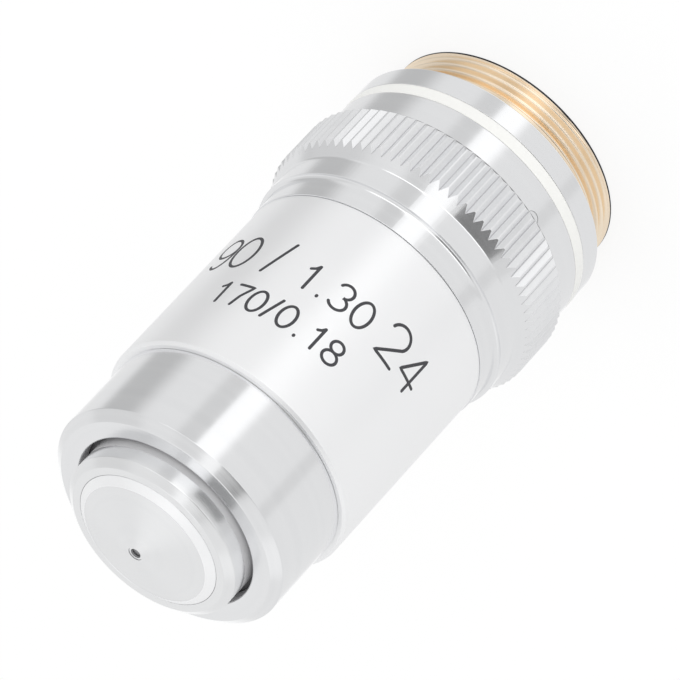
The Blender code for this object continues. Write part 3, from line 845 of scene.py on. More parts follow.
@dataclass
class ThreadMount:
    """Brass tube with the objective thread, its relief, and the body behind the rings."""

    pitch: float = 25.4 / 36 * MM
    form_depth: float = 0.6403
    form_round: float = 0.1373
    flank: float = math.radians(62.5)
    arc_steps: int = 8
    flank_steps: int = 3
    first_crest: float = 0.08
    first_turn: int = -2
    lead: float = 0.05 * MM
    rim_land: float = 0.20 * MM
    rise: float = 0.30 * MM
    relief_start: float = 2.20 * MM
    relief_end: float = 2.56 * MM
    relief_depth: float = 0.34 * MM
    runout: float = 0.10 * MM
    lip_step: float = 0.11 * MM
    lip_low: float = 2.58 * MM
    lip_high: float = 2.76 * MM
    lip_end: float = 3.10 * MM
    lip_eases: Point = (0.02 * MM, 0.03 * MM, 0.05 * MM)
    body_step: float = 0.57 * MM
    wall: float = 0.99 * MM
    ease: float = 0.10 * MM
    span: Span = packed("thread_mount")

    def depth_at(self, phase: float) -> float:
        """Return the thread's depth at a share of the pitch from the middle of a crest.

        Args:
            phase: place along the pitch, in pitches.

        Returns:
            The depth below the crests: rounded crest, straight flank, rounded root.
        """
        away = abs((phase + 0.5) % 1.0 - 0.5) * self.pitch
        rest = self.pitch / 2 - away
        round_radius = self.form_round * self.pitch
        reach = round_radius * math.sin(self.flank)
        if away < reach:
            return round_radius - math.sqrt(round_radius**2 - away**2)
        if rest < reach:
            depth = self.form_depth * self.pitch
            return depth - round_radius + math.sqrt(round_radius**2 - rest**2)
        drop = round_radius * (1.0 - math.cos(self.flank))
        return drop + (away - reach) * math.tan(self.flank)

    def surface(self, angle: float, height: float) -> float:
        """Return the radius of the threaded surface at an angle and a height.

        Args:
            angle: angle round the axis, in radians.
            height: height above the rim.

        Returns:
            The radius: a plain land at the rim, the thread, and then the relief.
        """
        phase = height / self.pitch - angle / math.tau - self.first_crest
        grown = min(1.0, max(0.0, height - self.rim_land) / self.rise)
        cut_back = max(0.0, self.lead - height)
        relief = min(1.0, max(0.0, height - self.relief_start) / self.runout) * self.relief_depth
        return self.span.radius - max(self.depth_at(phase) * grown, cut_back, relief)

    def profile_phases(self) -> list[float]:
        """Return the places of the helical rows on a crest, its two flanks and a root.

        Returns:
            Shares of the pitch from the middle of the crest.
        """
        turns = [self.flank * (2 * step / self.arc_steps - 1) for step in range(self.arc_steps + 1)]
        crest = [self.form_round * math.sin(turn) for turn in turns]
        root = [0.5 + share for share in crest]
        gap = (root[0] - crest[-1]) / self.flank_steps
        rising = [crest[-1] + gap * step for step in range(1, self.flank_steps)]
        falling = [root[-1] + gap * step for step in range(1, self.flank_steps)]
        return crest + rising + root + falling

    def thread_mesh(self) -> Mesh:
        """Return the open skin of the thread, from the rim to the relief.

        Returns:
            Helical rows of faces, each row closed on the one a pitch above it.
        """
        phases = self.profile_phases()
        turns = range(self.first_turn, math.ceil(self.relief_end / self.pitch) + 1)
        points = []
        for start in [turn + share + self.first_crest for turn in turns for share in phases]:
            for step in range(TURN_STEPS + 1):
                angle = math.tau * step / TURN_STEPS
                height = (start + angle / math.tau) * self.pitch
                height = min(max(height, 0.0), self.relief_end)
                radius = self.surface(angle, height)
                points.append((radius * math.cos(angle), radius * math.sin(angle), height))
        width = TURN_STEPS + 1
        lows = [row + step for row in range(0, len(points) - width, width) for step in range(width - 1)]
        return new_mesh("thread_mount", points, [(a, a + 1, a + 1 + width, a + width) for a in lows])

    def paint_rim_shade(self, shape: bmesh.types.BMesh) -> None:
        """Paint shade on the land at the rim as a black edge, outside the thread only.

        Args:
            shape: the mount's editable mesh.
        """
        geometry = [*shape.verts, *shape.edges, *shape.faces]
        level = self.rim_land
        bmesh.ops.bisect_plane(
            shape, geom=geometry, plane_co=(0.0, 0.0, level), plane_no=(0.0, 0.0, 1.0)
        )
        for face in shape.faces:
            middle = face.calc_center_median()
            low = all(vertex.co.z < level + CLOSE_BY for vertex in face.verts)
            outside = math.hypot(middle.x, middle.y) > self.span.radius - 2 * self.lead
            # Painted shade: the rim's outer land takes the black finish for the dark line along the
            # rim.
            face.material_index = 1 if low and outside else 0

    def build(self) -> None:
        """Build the mount: the threaded skin, the body and the bore, joined as one."""
        crest = self.span.radius
        body = crest - self.body_step
        bore = body - self.wall
        low_ease, high_ease, end_ease = self.lip_eases
        rest = lathe("mount_rest", [
            Corner(crest - self.relief_depth, self.relief_end),
            Corner(crest - self.lip_step, self.lip_low, low_ease),
            Corner(crest, self.lip_high, high_ease),
            Corner(crest, self.lip_end, end_ease),
            Corner(body, self.lip_end),
            Corner(body, self.span.high, self.ease),
            Corner(bore, self.span.high, self.ease),
            Corner(bore, 0.0, self.ease),
            Corner(crest - self.lead, 0.0),
        ], closed=False)
        mesh = self.thread_mesh()
        with edited(mesh) as shape:
            merge(shape)
            shape.from_mesh(rest)
            bmesh.ops.remove_doubles(shape, verts=shape.verts, dist=SAME_PLACE)
            self.paint_rim_shade(shape)
        piece = make_object("brass_thread_mount", tidy_mesh(mesh), THREAD_BRASS, BLACK_OXIDE_AND_RIM_SHADE)
        dress(piece, Body.HOUSING, Slot.THREAD_BRASS, "thread_mount")


@dataclass
class ShoulderRing:
    """Polished ring with the seat, the white colour ring and the lock pin."""

    thread_gap: float = 0.12 * MM
    body_gap: float = 0.30 * MM
    mount_step: float = 0.57 * MM
    chamfer: float = 0.25 * MM
    land_gap: float = 0.04 * MM
    spigot_step: float = 0.58 * MM
    groove_depth: float = 0.35 * MM
    groove_gap: float = 0.03 * MM
    pin_radius: float = 0.60 * MM
    pin_gap: float = 0.02 * MM
    pin_angle: float = math.radians(-115.0)
    pin_steps: int = 48
    ease: float = 0.05 * MM
    ring_ease: float = 0.04 * MM
    pin_ease: float = 0.06 * MM
    span: Span = packed("shoulder_ring")
    colour: Span = packed("colour_ring")
    thread: Span = packed("thread_mount")
    collar: Span = packed("knurled_collar")

    def land_top(self) -> float:
        """Return the height of the land's front edge."""
        return self.collar.low - self.land_gap

    def bore(self) -> float:
        """Return the radius of the bore over the mount's body."""
        return self.thread.radius - self.mount_step + self.body_gap

    def build_ring(self) -> None:
        """Build the ring with its groove, its spigot and the hole for the pin."""
        outer, bore = self.span.radius, self.bore()
        seat = self.thread.radius + self.thread_gap
        low, high = self.colour.low - self.groove_gap, self.colour.high + self.groove_gap
        floor = outer - self.groove_depth
        spigot = outer - self.spigot_step
        mesh = lathe("shoulder_ring", [
            Corner(bore, self.span.low + seat - bore),
            Corner(seat, self.span.low, self.ease),
            Corner(outer - self.chamfer, self.span.low, self.ease),
            Corner(outer, self.span.low + self.chamfer, self.ease),
            Corner(outer, low, self.ease),
            Corner(floor, low, skin=1),
            Corner(floor, high),
            Corner(outer, high, self.ease),
            Corner(outer, self.land_top(), self.ease, skin=1),
            Corner(spigot, self.land_top(), skin=1),
            Corner(spigot, self.span.high, skin=1),
            Corner(bore, self.span.high),
        ])
        piece = make_object("polished_shoulder_ring", mesh, POLISHED, BLACK_OXIDE_AND_RIM_SHADE)
        hole, reach = self.pin_radius + self.pin_gap, 2 * outer
        outline = [Corner(0.0, 0.0), Corner(hole, 0.0), Corner(hole, reach), Corner(0.0, reach)]
        cutter = lathe("pin_hole", outline, self.pin_steps, closed=False)
        cut(piece, cutter, radial(self.pin_angle, self.land_top()))
        dress(piece, Body.HOUSING, Slot.BRIGHT_CHROME, "shoulder_ring")

    def build_colour_ring(self) -> None:
        """Build the white ring that fills the groove."""
        outer, inner = self.colour.radius, self.span.radius - self.groove_depth + self.groove_gap
        mesh = lathe("colour_ring", [
            Corner(inner, self.colour.low),
            Corner(outer, self.colour.low, self.ring_ease),
            Corner(outer, self.colour.high, self.ring_ease),
            Corner(inner, self.colour.high),
        ])
        piece = make_object("white_colour_ring", mesh, ENAMEL)
        dress(piece, Body.HOUSING, Slot.RING_ENAMEL, "colour_ring")

    def build_pin(self) -> None:
        """Build the lock pin, cut back where the collar's skirt covers it."""
        foot, top = self.bore(), self.span.radius
        mesh = lathe("lock_pin", [
            Corner(0.0, foot),
            Corner(self.pin_radius, foot),
            Corner(self.pin_radius, top, self.pin_ease),
            Corner(0.0, top),
        ], self.pin_steps, closed=False)
        place = radial(self.pin_angle, self.land_top())
        mesh.transform(place)
        piece = make_object("lock_pin_end", mesh, POLISHED)
        side = 4 * self.pin_radius
        block = box_mesh("pin_relief", (-side, -side, top - self.spigot_step), (0.0, side, 2 * top))
        cut(piece, block, place)
        dress(piece, Body.HOUSING, Slot.BRIGHT_CHROME, "lock_pin")

    def build(self) -> None:
        """Build all three pieces."""
        self.build_ring()
        self.build_colour_ring()
        self.build_pin()


@dataclass
class KnurledCollar:
    """Polished collar: skirt, straight V knurl, chamfer and two plain bands with a step."""

    teeth: int = 84
    tooth_depth: float = 0.36 * MM
    crest: float = 0.16 * MM
    crest_flat: float = 0.6
    crest_break: float = 0.015 * MM
    root: float = 0.04 * MM
    skirt_wall: float = 0.95 * MM
    skirt_depth: float = 3.95 * MM
    rear_slope: float = 1.00
    knurl_length: float = 5.41 * MM
    fall_length: float = 1.20 * MM
    foot_fillet: float = 0.12 * MM
    band_drop: float = 0.84 * MM
    band_length: float = 1.94 * MM
    step_fillet: float = 0.50 * MM
    step_spans: int = 10
    front_band_drop: float = 1.25 * MM
    bore: float = 9.89 * MM
    ease: float = 0.04 * MM
    seam: float = 0.02 * MM
    span: Span = packed("knurled_collar")
    sleeve: Span = packed("barrel_sleeve")

    def section(self) -> list[Flat]:
        """Return the knurl's outline, tooth by tooth.

        Returns:
            Pairs of an angle and a radius.
        """
        tooth = math.tau / self.teeth
        crest = self.span.radius
        root, shoulder = crest - self.tooth_depth, crest - self.crest_break
        half_root, half_crest = self.root / crest / 2, self.crest / crest / 2
        half_flat = half_crest * self.crest_flat
        points = []
        for start in [index * tooth for index in range(self.teeth)]:
            middle = start + tooth / 2
            points += [
                (start + half_root, root),
                (middle - half_crest, shoulder),
                (middle - half_flat, crest),
                (middle + half_flat, crest),
                (middle + half_crest, shoulder),
                (start + tooth - half_root, root),
            ]
        return points

    def ring(self, radius_at: Callable[[float], float],
             height_at: Callable[[float], float]) -> list[Point]:
        """Return one ring over the knurl's angles.

        Args:
            radius_at: gives the ring's radius from the knurl's radius.
            height_at: gives the ring's height from the ring's radius.

        Returns:
            The ring's points.
        """
        points = []
        for angle, radius in self.section():
            reach = radius_at(radius)
            points.append((reach * math.cos(angle), reach * math.sin(angle), height_at(reach)))
        return points

    def build(self) -> None:
        """Build the collar as one skin of rings."""
        crest, rear = self.span.radius, self.span.low
        root = crest - self.tooth_depth
        foot = rear + self.knurl_length
        band, front_band = crest - self.band_drop, crest - self.front_band_drop
        step = foot + self.band_length
        front = self.sleeve.low - self.seam
        skirt_bore, skirt_top = crest - self.skirt_wall, rear + self.skirt_depth
        slope = self.fall_length / self.band_drop
        rings = [
            self.ring(lambda r: root, lambda r: rear),
            self.ring(lambda r: r, lambda r: rear + (r - root) * self.rear_slope),
            self.ring(lambda r: r, lambda r: foot - (r - band) * slope),
        ]
        # Skin 3, on the knurl's rear face, is painted shade: a dark grey line where the shadow between
        # collar and land falls.
        skins = [3, 0, 1]
        fillet = curve(
            Vector((band - 2 * self.ease, step)),
            Vector((front_band, step)),
            Vector((front_band, step + self.step_fillet)),
            self.step_spans,
        )
        plain = [
            Corner(root, foot - (root - band) * slope, skin=1),
            Corner(band, foot, self.foot_fillet, skin=1),
            Corner(band, step, self.ease, skin=1),
            *[Corner(place.x, place.y, skin=1) for place in fillet],
            Corner(front_band, front, self.ease, skin=1),
            Corner(self.bore, front, skin=2),
            Corner(self.bore, skirt_top, skin=2),
            Corner(skirt_bore, skirt_top, skin=2),
            Corner(skirt_bore, rear, skin=2),
        ]
        for point in eased(plain, closed=False):
            rings.append(self.ring(lambda r, p=point: p.radius, lambda r, p=point: p.height))
            skins.append(point.skin)
        mesh = loft("knurled_collar", rings, skins)
        piece = make_object(
            "knurled_collar_ring", mesh, KNURL_METAL, POLISHED, BLACK_OXIDE_AND_RIM_SHADE, PAINTED_SHADE_GREY
        )
        dress(piece, Body.HOUSING, Slot.BRIGHT_CHROME, "knurled_collar")


@dataclass
class BarrelSleeve:
    """Satin outer barrel, with its chamfer at the front."""

    wall: float = 0.85 * MM
    chamfer: float = 0.22 * MM
    rear_ease: float = 0.03 * MM
    ease: float = 0.04 * MM
    span: Span = packed("barrel_sleeve")

    def build(self) -> None:
        """Build the sleeve."""
        outer, low, high = self.span.radius, self.span.low, self.span.high
        bore = outer - self.wall
        mesh = lathe("barrel_sleeve", [
            Corner(bore, low),
            Corner(outer, low, self.rear_ease),
            Corner(outer, high - self.chamfer, self.ease),
            Corner(outer - self.chamfer, high, self.ease),
            Corner(bore, high),
        ])
        piece = make_object("satin_barrel_sleeve", mesh, SATIN)
        dress(piece, Body.HOUSING, Slot.SATIN_CHROME, "barrel_sleeve")


def arc(centre: Flat, radii: Flat, start: float, stop: float, steps: int = 24) -> Stroke:
    """Return points along an elliptical arc.

    Args:
        centre: centre of the ellipse.
        radii: its half width and half height.
        start: first angle in degrees, from the right, counterclockwise.
        stop: last angle in degrees.
        steps: number of spans along the arc.

    Returns:
        The points of the arc.
    """
    turns = [math.radians(start + (stop - start) * step / steps) for step in range(steps + 1)]
    return [(centre[0] + radii[0] * math.cos(a), centre[1] + radii[1] * math.sin(a)) for a in turns]


class Numerals:
    """Plain single-stroke numerals, as a pantograph cuts them. Each is one unit high."""

    WIDTH = 0.62

    @classmethod
    def strokes(cls, sign: str) -> list[Stroke]:
        """Return the strokes of one sign.

        Args:
            sign: a digit, a point or a slash.

        Returns:
            A list of strokes, each a list of points from the sign's lower left corner.
        """
        middle = cls.WIDTH / 2
        half = middle - 0.02
        left, right = middle - half, middle + half
        shapes = {
            "0": [arc((middle, 0.5), (half, 0.5), 90, 450, 56)],
            "1": [[(middle - 0.17, 0.78), (middle - 0.05, 0.86), (middle + 0.04, 1.0)],
                  [(middle + 0.04, 1.0), (middle + 0.04, 0.0)]],
            "2": [arc((middle, 0.71), (half, 0.29), 165, -35) + [(left + 0.01, 0.0), (right, 0.0)]],
            "3": [arc((middle - 0.01, 0.745), (half - 0.03, 0.255), 155, -80)
                  + arc((middle - 0.01, 0.26), (half, 0.26), 80, -150)],
            "4": [[(right, 0.27), (left, 0.27), (middle + 0.13, 1.0), (middle + 0.13, 0.0)]],
            "7": [[(left, 1.0), (right, 1.0), (middle + 0.03, 0.48), (middle - 0.08, 0.0)]],
            "8": [arc((middle, 0.76), (half - 0.04, 0.24), -90, 270, 40),
                  arc((middle, 0.26), (half, 0.26), 90, 450, 44)],
            "9": [arc((middle, 0.69), (half, 0.31), 0, 360, 44),
                  arc((middle - 0.02, 0.60), (half + 0.02, 0.60), 8, -128, 30)],
            ".": [[(middle, 0.0), (middle, 0.035)]],
            "/": [[(middle - 0.15, 0.0), (middle + 0.15, 1.0)]],
        }
        return shapes[sign]


@dataclass(frozen=True)
class Run:
    """Signs of one height on one line, with each one's degrees from the front towards +X."""

    base: float
    height: float
    text: str
    angles: tuple[float, ...]


@dataclass
class Engraving:
    """Two lines of plain numerals on the barrel, filled with dark paint."""

    upper_base: float = 27.90 * MM
    lower_base: float = 31.95 * MM
    big: float = 3.45 * MM
    middle: float = 2.50 * MM
    small: float = 2.20 * MM
    half_stroke: float = 0.130 * MM
    small_half_stroke: float = 0.125 * MM
    proud: float = 0.006 * MM
    sunk: float = 0.030 * MM
    cap_steps: int = 8
    max_step: float = 0.18 * MM
    span: Span = packed("barrel_sleeve")

    def runs(self) -> list[Run]:
        """Return the runs of both lines, the upper line first.

        Returns:
            The runs, in reading order.
        """
        lower = (51.6, 42.6, 34.2, 27.0, 19.7, 12.6, 5.0, -3.6)
        return [
            Run(self.upper_base, self.big, "90/", (70.7, 58.4, 41.0)),
            Run(self.upper_base, self.middle, "1.30", (23.9, 16.7, 8.5, -2.1)),
            Run(self.upper_base, self.big, "24", (-19.5, -33.5)),
            Run(self.lower_base, self.small, "170/0.18", lower),
        ]

    def spaced(self, stroke: Stroke, height: float) -> Stroke:
        """Return a stroke at full size, with points close enough to follow the barrel.

        Args:
            stroke: the stroke in units of its height.
            height: the sign's height.

        Returns:
            The points at full size.
        """
        points = [(x * height, y * height) for x, y in stroke]
        result = [points[0]]
        for start, stop in zip(points, points[1:]):
            gap = math.dist(start, stop)
            if gap < NO_LENGTH:
                continue
            spans = max(1, math.ceil(gap / self.max_step))
            for share in [step / spans for step in range(1, spans + 1)]:
                result.append(tuple(a + (b - a) * share for a, b in zip(start, stop)))
        return result

    def ribbon(self, stroke: Stroke, half: float) -> Mesh:
        """Return a flat bar along a stroke, with round ends.

        Args:
            stroke: points of the stroke at full size.
            half: half the width of the bar.

        Returns:
            A closed bar between the sunk and the proud level.
        """
        whole = math.dist(stroke[0], stroke[-1]) < CLOSE_BY
        before_first, after_last = (stroke[-2], stroke[1]) if whole else (stroke[0], stroke[-1])
        left, right = [], []
        for (x, y), before, after in zip(
            stroke, [before_first, *stroke[:-1]], [*stroke[1:], after_last]
        ):
            dx, dy = after[0] - before[0], after[1] - before[1]
            share = half / math.hypot(dx, dy)
            left.append((x - dy * share, y + dx * share))
            right.append((x + dy * share, y - dx * share))
        if whole:
            return self.closed_bar(left[:-1], right[:-1])
        end_cap = self.cap(stroke[-1], stroke[-2], half)
        start_cap = self.cap(stroke[0], stroke[1], half)
        return self.open_bar(right + end_cap + left[::-1] + start_cap, len(stroke))

    def cap(self, end: Flat, inner: Flat, half: float) -> Stroke:
        """Return the points of a round end, counterclockwise round the outside.

        Args:
            end: last point of the stroke.
            inner: the point before it.
            half: half the width of the bar.

        Returns:
            The points between the two sides.
        """
        heading = math.atan2(end[1] - inner[1], end[0] - inner[0]) - math.pi / 2
        turns = [heading + math.pi * s / self.cap_steps for s in range(1, self.cap_steps)]
        return [(end[0] + half * math.cos(a), end[1] + half * math.sin(a)) for a in turns]

    def open_bar(self, outline: Stroke, count: int) -> Mesh:
        """Return the closed bar of an open stroke: strip faces, caps and walls.

        Args:
            outline: the right side, the end's cap, the left side backwards, the start's cap.
            count: number of points of a side.

        Returns:
            The bar.
        """
        total, caps = len(outline), self.cap_steps - 1
        places = list(range(total))
        right, end_cap = places[:count], places[count:count + caps]
        left = places[count + caps:2 * count + caps][::-1]
        start_cap = places[2 * count + caps:]
        flats = [[right[i], right[i + 1], left[i + 1], left[i]] for i in range(count - 1)]
        flats.append([right[-1], *end_cap, left[-1]])
        flats.append([left[0], *start_cap, right[0]])
        faces = [[place + total for place in face] for face in flats]
        faces += [face[::-1] for face in flats]
        for place in places:
            ahead = (place + 1) % total
            faces.append([place, ahead, ahead + total, place + total])
        points = [(x, y, z) for z in (-self.sunk, self.proud) for x, y in outline]
        return new_mesh("stroke", points, faces)

    def closed_bar(self, left: Stroke, right: Stroke) -> Mesh:
        """Return the closed bar of a stroke that ends where it starts.

        Args:
            left: its left side.
            right: its right side.

        Returns:
            The bar.
        """
        count = len(left)
        levels = ((left, self.proud), (right, self.proud), (right, -self.sunk), (left, -self.sunk))
        points = [(x, y, level) for side, level in levels for x, y in side]
        faces = []
        for ring in range(4):
            start, following = ring * count, (ring + 1) % 4 * count
            for index in range(count):
                ahead = (index + 1) % count
                faces.append([start + index, start + ahead, following + ahead, following + index])
        mesh = new_mesh("stroke", points, faces)
        with edited(mesh) as shape:
            bmesh.ops.recalc_face_normals(shape, faces=shape.faces)
        return mesh

    def sign_mesh(self, sign: str, height: float) -> Mesh:
        """Return one flat sign, its strokes joined, centred on its own middle.

        Args:
            sign: the sign.
            height: its height.

        Returns:
            The mesh of the sign.
        """
        half = self.half_stroke if height == self.big else self.small_half_stroke
        strokes = Numerals.strokes(sign)
        bars = [self.ribbon(self.spaced(stroke, height), half) for stroke in strokes]
        piece = make_object("sign", bars[0], ENGRAVING_FILL)
        for bar in bars[1:]:
            cut(piece, bar, operation="UNION")
        mesh = piece.data
        bpy.data.objects.remove(piece, do_unlink=True)
        mesh.transform(Matrix.Translation((-Numerals.WIDTH / 2 * height, 0.0, 0.0)))
        return mesh

    def wrap(self, mesh: Mesh, angle: float, base: float) -> None:
        """Lay a flat sign round the barrel, its top towards the thread.

        Args:
            mesh: the flat sign, which is changed.
            angle: its middle, in degrees from the front towards +X.
            base: height of the line's base.
        """
        radius = self.span.radius
        for vertex in mesh.vertices:
            turn = math.radians(angle - 90.0) - vertex.co.x / radius
            reach = radius + vertex.co.z
            vertex.co = (reach * math.cos(turn), reach * math.sin(turn), base - vertex.co.y)

    def build(self) -> None:
        """Build all the numerals as one piece of paint."""
        whole = bpy.data.meshes.new("engraving")
        with edited(whole) as shape:
            for run in self.runs():
                for sign, angle in zip(run.text, run.angles):
                    mesh = self.sign_mesh(sign, run.height)
                    self.wrap(mesh, angle, run.base)
                    shape.from_mesh(mesh)
            bmesh.ops.recalc_face_normals(shape, faces=shape.faces)
        piece = make_object("barrel_numerals", shaded(whole), ENGRAVING_FILL)
        dress(piece, Body.HOUSING, Slot.BLACK_OXIDE)


@dataclass
class FrontCollar:
    """Polished front collar with its wide chamfer and the opening for the nose."""

    wall: float = 0.82 * MM
    chamfer_width: float = 0.77 * MM
    chamfer_height: float = 0.65 * MM
    lip: float = 1.25 * MM
    opening: float = 7.87 * MM
    ease: float = 0.04 * MM
    rear_ease: float = 0.03 * MM
    opening_ease: float = 0.16 * MM
    seam: float = 0.025 * MM
    span: Span = packed("front_collar")
    sleeve: Span = packed("barrel_sleeve")

    def build(self) -> None:
        """Build the collar."""
        outer, top = self.span.radius, self.span.high
        bore, low = outer - self.wall, self.sleeve.high + self.seam
        mesh = lathe("front_collar", [
            Corner(bore, low),
            Corner(outer, low, self.rear_ease),
            Corner(outer, top - self.chamfer_height, self.ease),
            Corner(outer - self.chamfer_width, top, self.ease),
            # The opening's wall is painted light: pale matt grey in place of the chrome.
            Corner(self.opening, top, self.opening_ease, skin=1),
            Corner(self.opening, top - self.lip, skin=2),
            Corner(bore, top - self.lip, skin=2),
        ])
        piece = make_object("polished_front_collar", mesh, POLISHED, PAINTED_GAP_LIGHT, BLACK_OXIDE_AND_RIM_SHADE)
        dress(piece, Body.HOUSING, Slot.BRIGHT_CHROME, "front_collar")


@dataclass
class SprungBarrel:
    """Sprung barrel with the nose, the conical front cell and the front lens."""

    nose_radius: float = 7.46 * MM
    chamfer_width: float = 0.66 * MM
    chamfer_height: float = 0.50 * MM
    bore_wall: float = 1.56 * MM
    pocket_seam: float = 0.02 * MM
    pocket_depth: float = 2.65 * MM
    flange_length: float = 2.40 * MM
    flange_front: float = 43.30 * MM
    gap_light_top: float = 45.20 * MM
    slot_depth: float = 0.96 * MM
    slot_half_width: float = 0.95 * MM
    slot_low: float = 19.90 * MM
    slot_high: float = 24.10 * MM
    bevel_width: float = 0.72 * MM
    bevel_rise: float = 0.45 * MM
    ridge: float = 0.04 * MM
    aperture: float = 0.60 * MM
    aperture_step: float = 0.06 * MM
    aperture_lip: float = 0.25 * MM
    throat: float = 0.43 * MM
    lens_radius: float = 0.98 * MM
    lens_gap: float = 0.12 * MM
    tunnel: float = 1.20 * MM
    mouth_radius: float = 4.40 * MM
    mouth_depth: float = 0.60 * MM
    ball_steps: int = 24
    ball_slack: float = 1.0005
    lens_turn_steps: int = 96
    ease: float = 0.05 * MM
    rim_ease: float = 0.03 * MM
    fine_ease: float = 0.02 * MM
    ridge_ease: float = 0.01 * MM
    barrel: Span = packed("slide_barrel")
    cell: Span = packed("front_cell")
    lens: Span = packed("front_lens")

    def build_barrel(self) -> None:
        """Build the barrel: tail, stop flange, nose and the pocket for the front cell."""
        rear, top, flange = self.barrel.low, self.barrel.high, self.barrel.radius
        nose, bore = self.nose_radius, self.nose_radius - self.bore_wall
        pocket, floor = self.cell.radius + self.pocket_seam, top - self.pocket_depth
        flange_rear = self.flange_front - self.flange_length
        mesh = lathe("slide_barrel", [
            Corner(bore, rear, self.ease, skin=1),
            Corner(nose, rear, self.ease),
            Corner(nose, flange_rear),
            Corner(flange, flange_rear, self.ease),
            # In the gap: painted shade on the flange's front face, painted light on the nose wall up to
            # the top of the pale band.
            Corner(flange, self.flange_front, self.ease, skin=2),
            Corner(nose, self.flange_front, skin=3),
            Corner(nose, self.gap_light_top),
            Corner(nose, top - self.chamfer_height, self.ease),
            Corner(nose - self.chamfer_width, top, self.ease),
            Corner(pocket, top, self.fine_ease),
            Corner(pocket, floor, skin=1),
            Corner(bore, floor, skin=1),
        ])
        piece = make_object(
            "sprung_nose_barrel", mesh, NOSE_METAL, BLACK_OXIDE_AND_RIM_SHADE, PAINTED_SHADE_GREY, PAINTED_GAP_LIGHT
        )
        half = self.slot_half_width
        low = (nose - self.slot_depth, -half, self.slot_low)
        cut(piece, box_mesh("guide_slot", low, (2 * nose, half, self.slot_high)))
        dress(piece, Body.SPRUNG, Slot.BRIGHT_CHROME, "slide_barrel")

    def build_cell(self) -> None:
        """Build the conical cap, bright outside and dull round the lens."""
        outer, rear, tip = self.cell.radius, self.cell.low, self.cell.high
        rim = self.barrel.high
        cone_r, cone_z = outer - self.bevel_width, rim + self.bevel_rise
        ledge, lens_top = tip - self.aperture_step, tip - self.aperture_lip
        pocket = self.lens_radius + self.lens_gap
        mesh = lathe("front_cell", [
            Corner(self.mouth_radius, rear),
            Corner(outer, rear),
            Corner(outer, rim, self.rim_ease, skin=2),
            Corner(cone_r + self.ridge, cone_z, self.fine_ease),
            Corner(cone_r, cone_z, self.ridge_ease),
            Corner(cone_r - self.ridge, cone_z - self.ridge / 2),
            Corner(self.aperture, tip, self.fine_ease, skin=1),
            Corner(self.aperture, ledge),
            Corner(self.throat, ledge, self.fine_ease, skin=1),
            Corner(self.throat, lens_top, skin=1),
            Corner(pocket, lens_top, skin=1),
            Corner(pocket, lens_top - self.tunnel, skin=1),
            Corner(self.mouth_radius, rear + self.mouth_depth, skin=1),
        ])
        piece = make_object("conical_nose_cap", mesh, NOSE_METAL, DULL_BORE, SATIN)
        dress(piece, Body.SPRUNG, Slot.SATIN_CHROME, "front_cell")

    def build_lens(self) -> None:
        """Build the half-ball front lens."""
        radius, front, rear = self.lens.radius, self.lens.high, self.lens.low
        depth = front - rear
        ball = (radius * radius + depth * depth) / (2 * depth) if depth < radius else radius
        widest = math.asin(min(1.0, radius / (ball * self.ball_slack)))
        turns = [step / self.ball_steps * widest for step in range(self.ball_steps + 1)]
        points = [Corner(ball * math.sin(t), rear + ball * (1 - math.cos(t))) for t in turns]
        points += [Corner(radius, front), Corner(0.0, front)]
        mesh = lathe("front_lens", points, self.lens_turn_steps, closed=False)
        piece = make_object("half_ball_front_lens", mesh, FRONT_GLASS)
        dress(piece, Body.SPRUNG, Slot.OPTICAL_GLASS, "front_lens")

    def build(self) -> None:
        """Build all three pieces."""
        self.build_barrel()
        self.build_cell()
        self.build_lens()


@dataclass
class NoseSpring:
    """Compression spring round the sprung barrel, with closed ends."""

    wire: float = 0.60 * MM
    radius: float = 8.03 * MM
    turns: int = 8
    end_pitch: float = 0.72 * MM
    steps_per_turn: int = 64
    wire_steps: int = 16
    keep: float = 0.86
    span: Span = packed("nose_spring")

    def height_at(self, turn: float) -> float:
        """Return the height of the wire's centre after a number of turns.

        Args:
            turn: number of turns from the low end.

        Returns:
            The height.
        """
        low, high = self.span.low + self.wire / 2, self.span.high - self.wire / 2
        pitch = (high - low - 2 * self.end_pitch) / (self.turns - 2)
        if turn <= 1:
            return low + self.end_pitch * turn
        if turn >= self.turns - 1:
            return high - self.end_pitch * (self.turns - turn)
        return low + self.end_pitch + pitch * (turn - 1)

    def point_at(self, turn: float, around: float, reach: float) -> Point:
        """Return a point in or on the wire.

        Args:
            turn: number of turns from the low end.
            around: angle round the wire.
            reach: distance from the wire's centre.

        Returns:
            The point.
        """
        angle = math.tau * turn
        radius = self.radius + reach * math.cos(around)
        height = self.height_at(turn) + reach * math.sin(around)
        return radius * math.cos(angle), radius * math.sin(angle), height

    def build(self) -> None:
        """Build the wire as a tube along its helix, with flat ends."""
        rounds = [math.tau * step / self.wire_steps for step in range(self.wire_steps)]
        rings = [[self.point_at(0.0, 0.0, 0.0)]]
        for index in range(self.turns * self.steps_per_turn + 1):
            turn = index / self.steps_per_turn
            rings.append([self.point_at(turn, around, self.wire / 2) for around in rounds])
        rings.append([self.point_at(self.turns, 0.0, 0.0)])
        mesh = loft("nose_spring", rings, [0] * len(rings), closed=False)
        piece = make_object("nose_coil_spring", mesh, STEEL)
        dress(piece, Body.HOUSING, Slot.SPRING_STEEL, "nose_spring")
        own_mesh(piece)


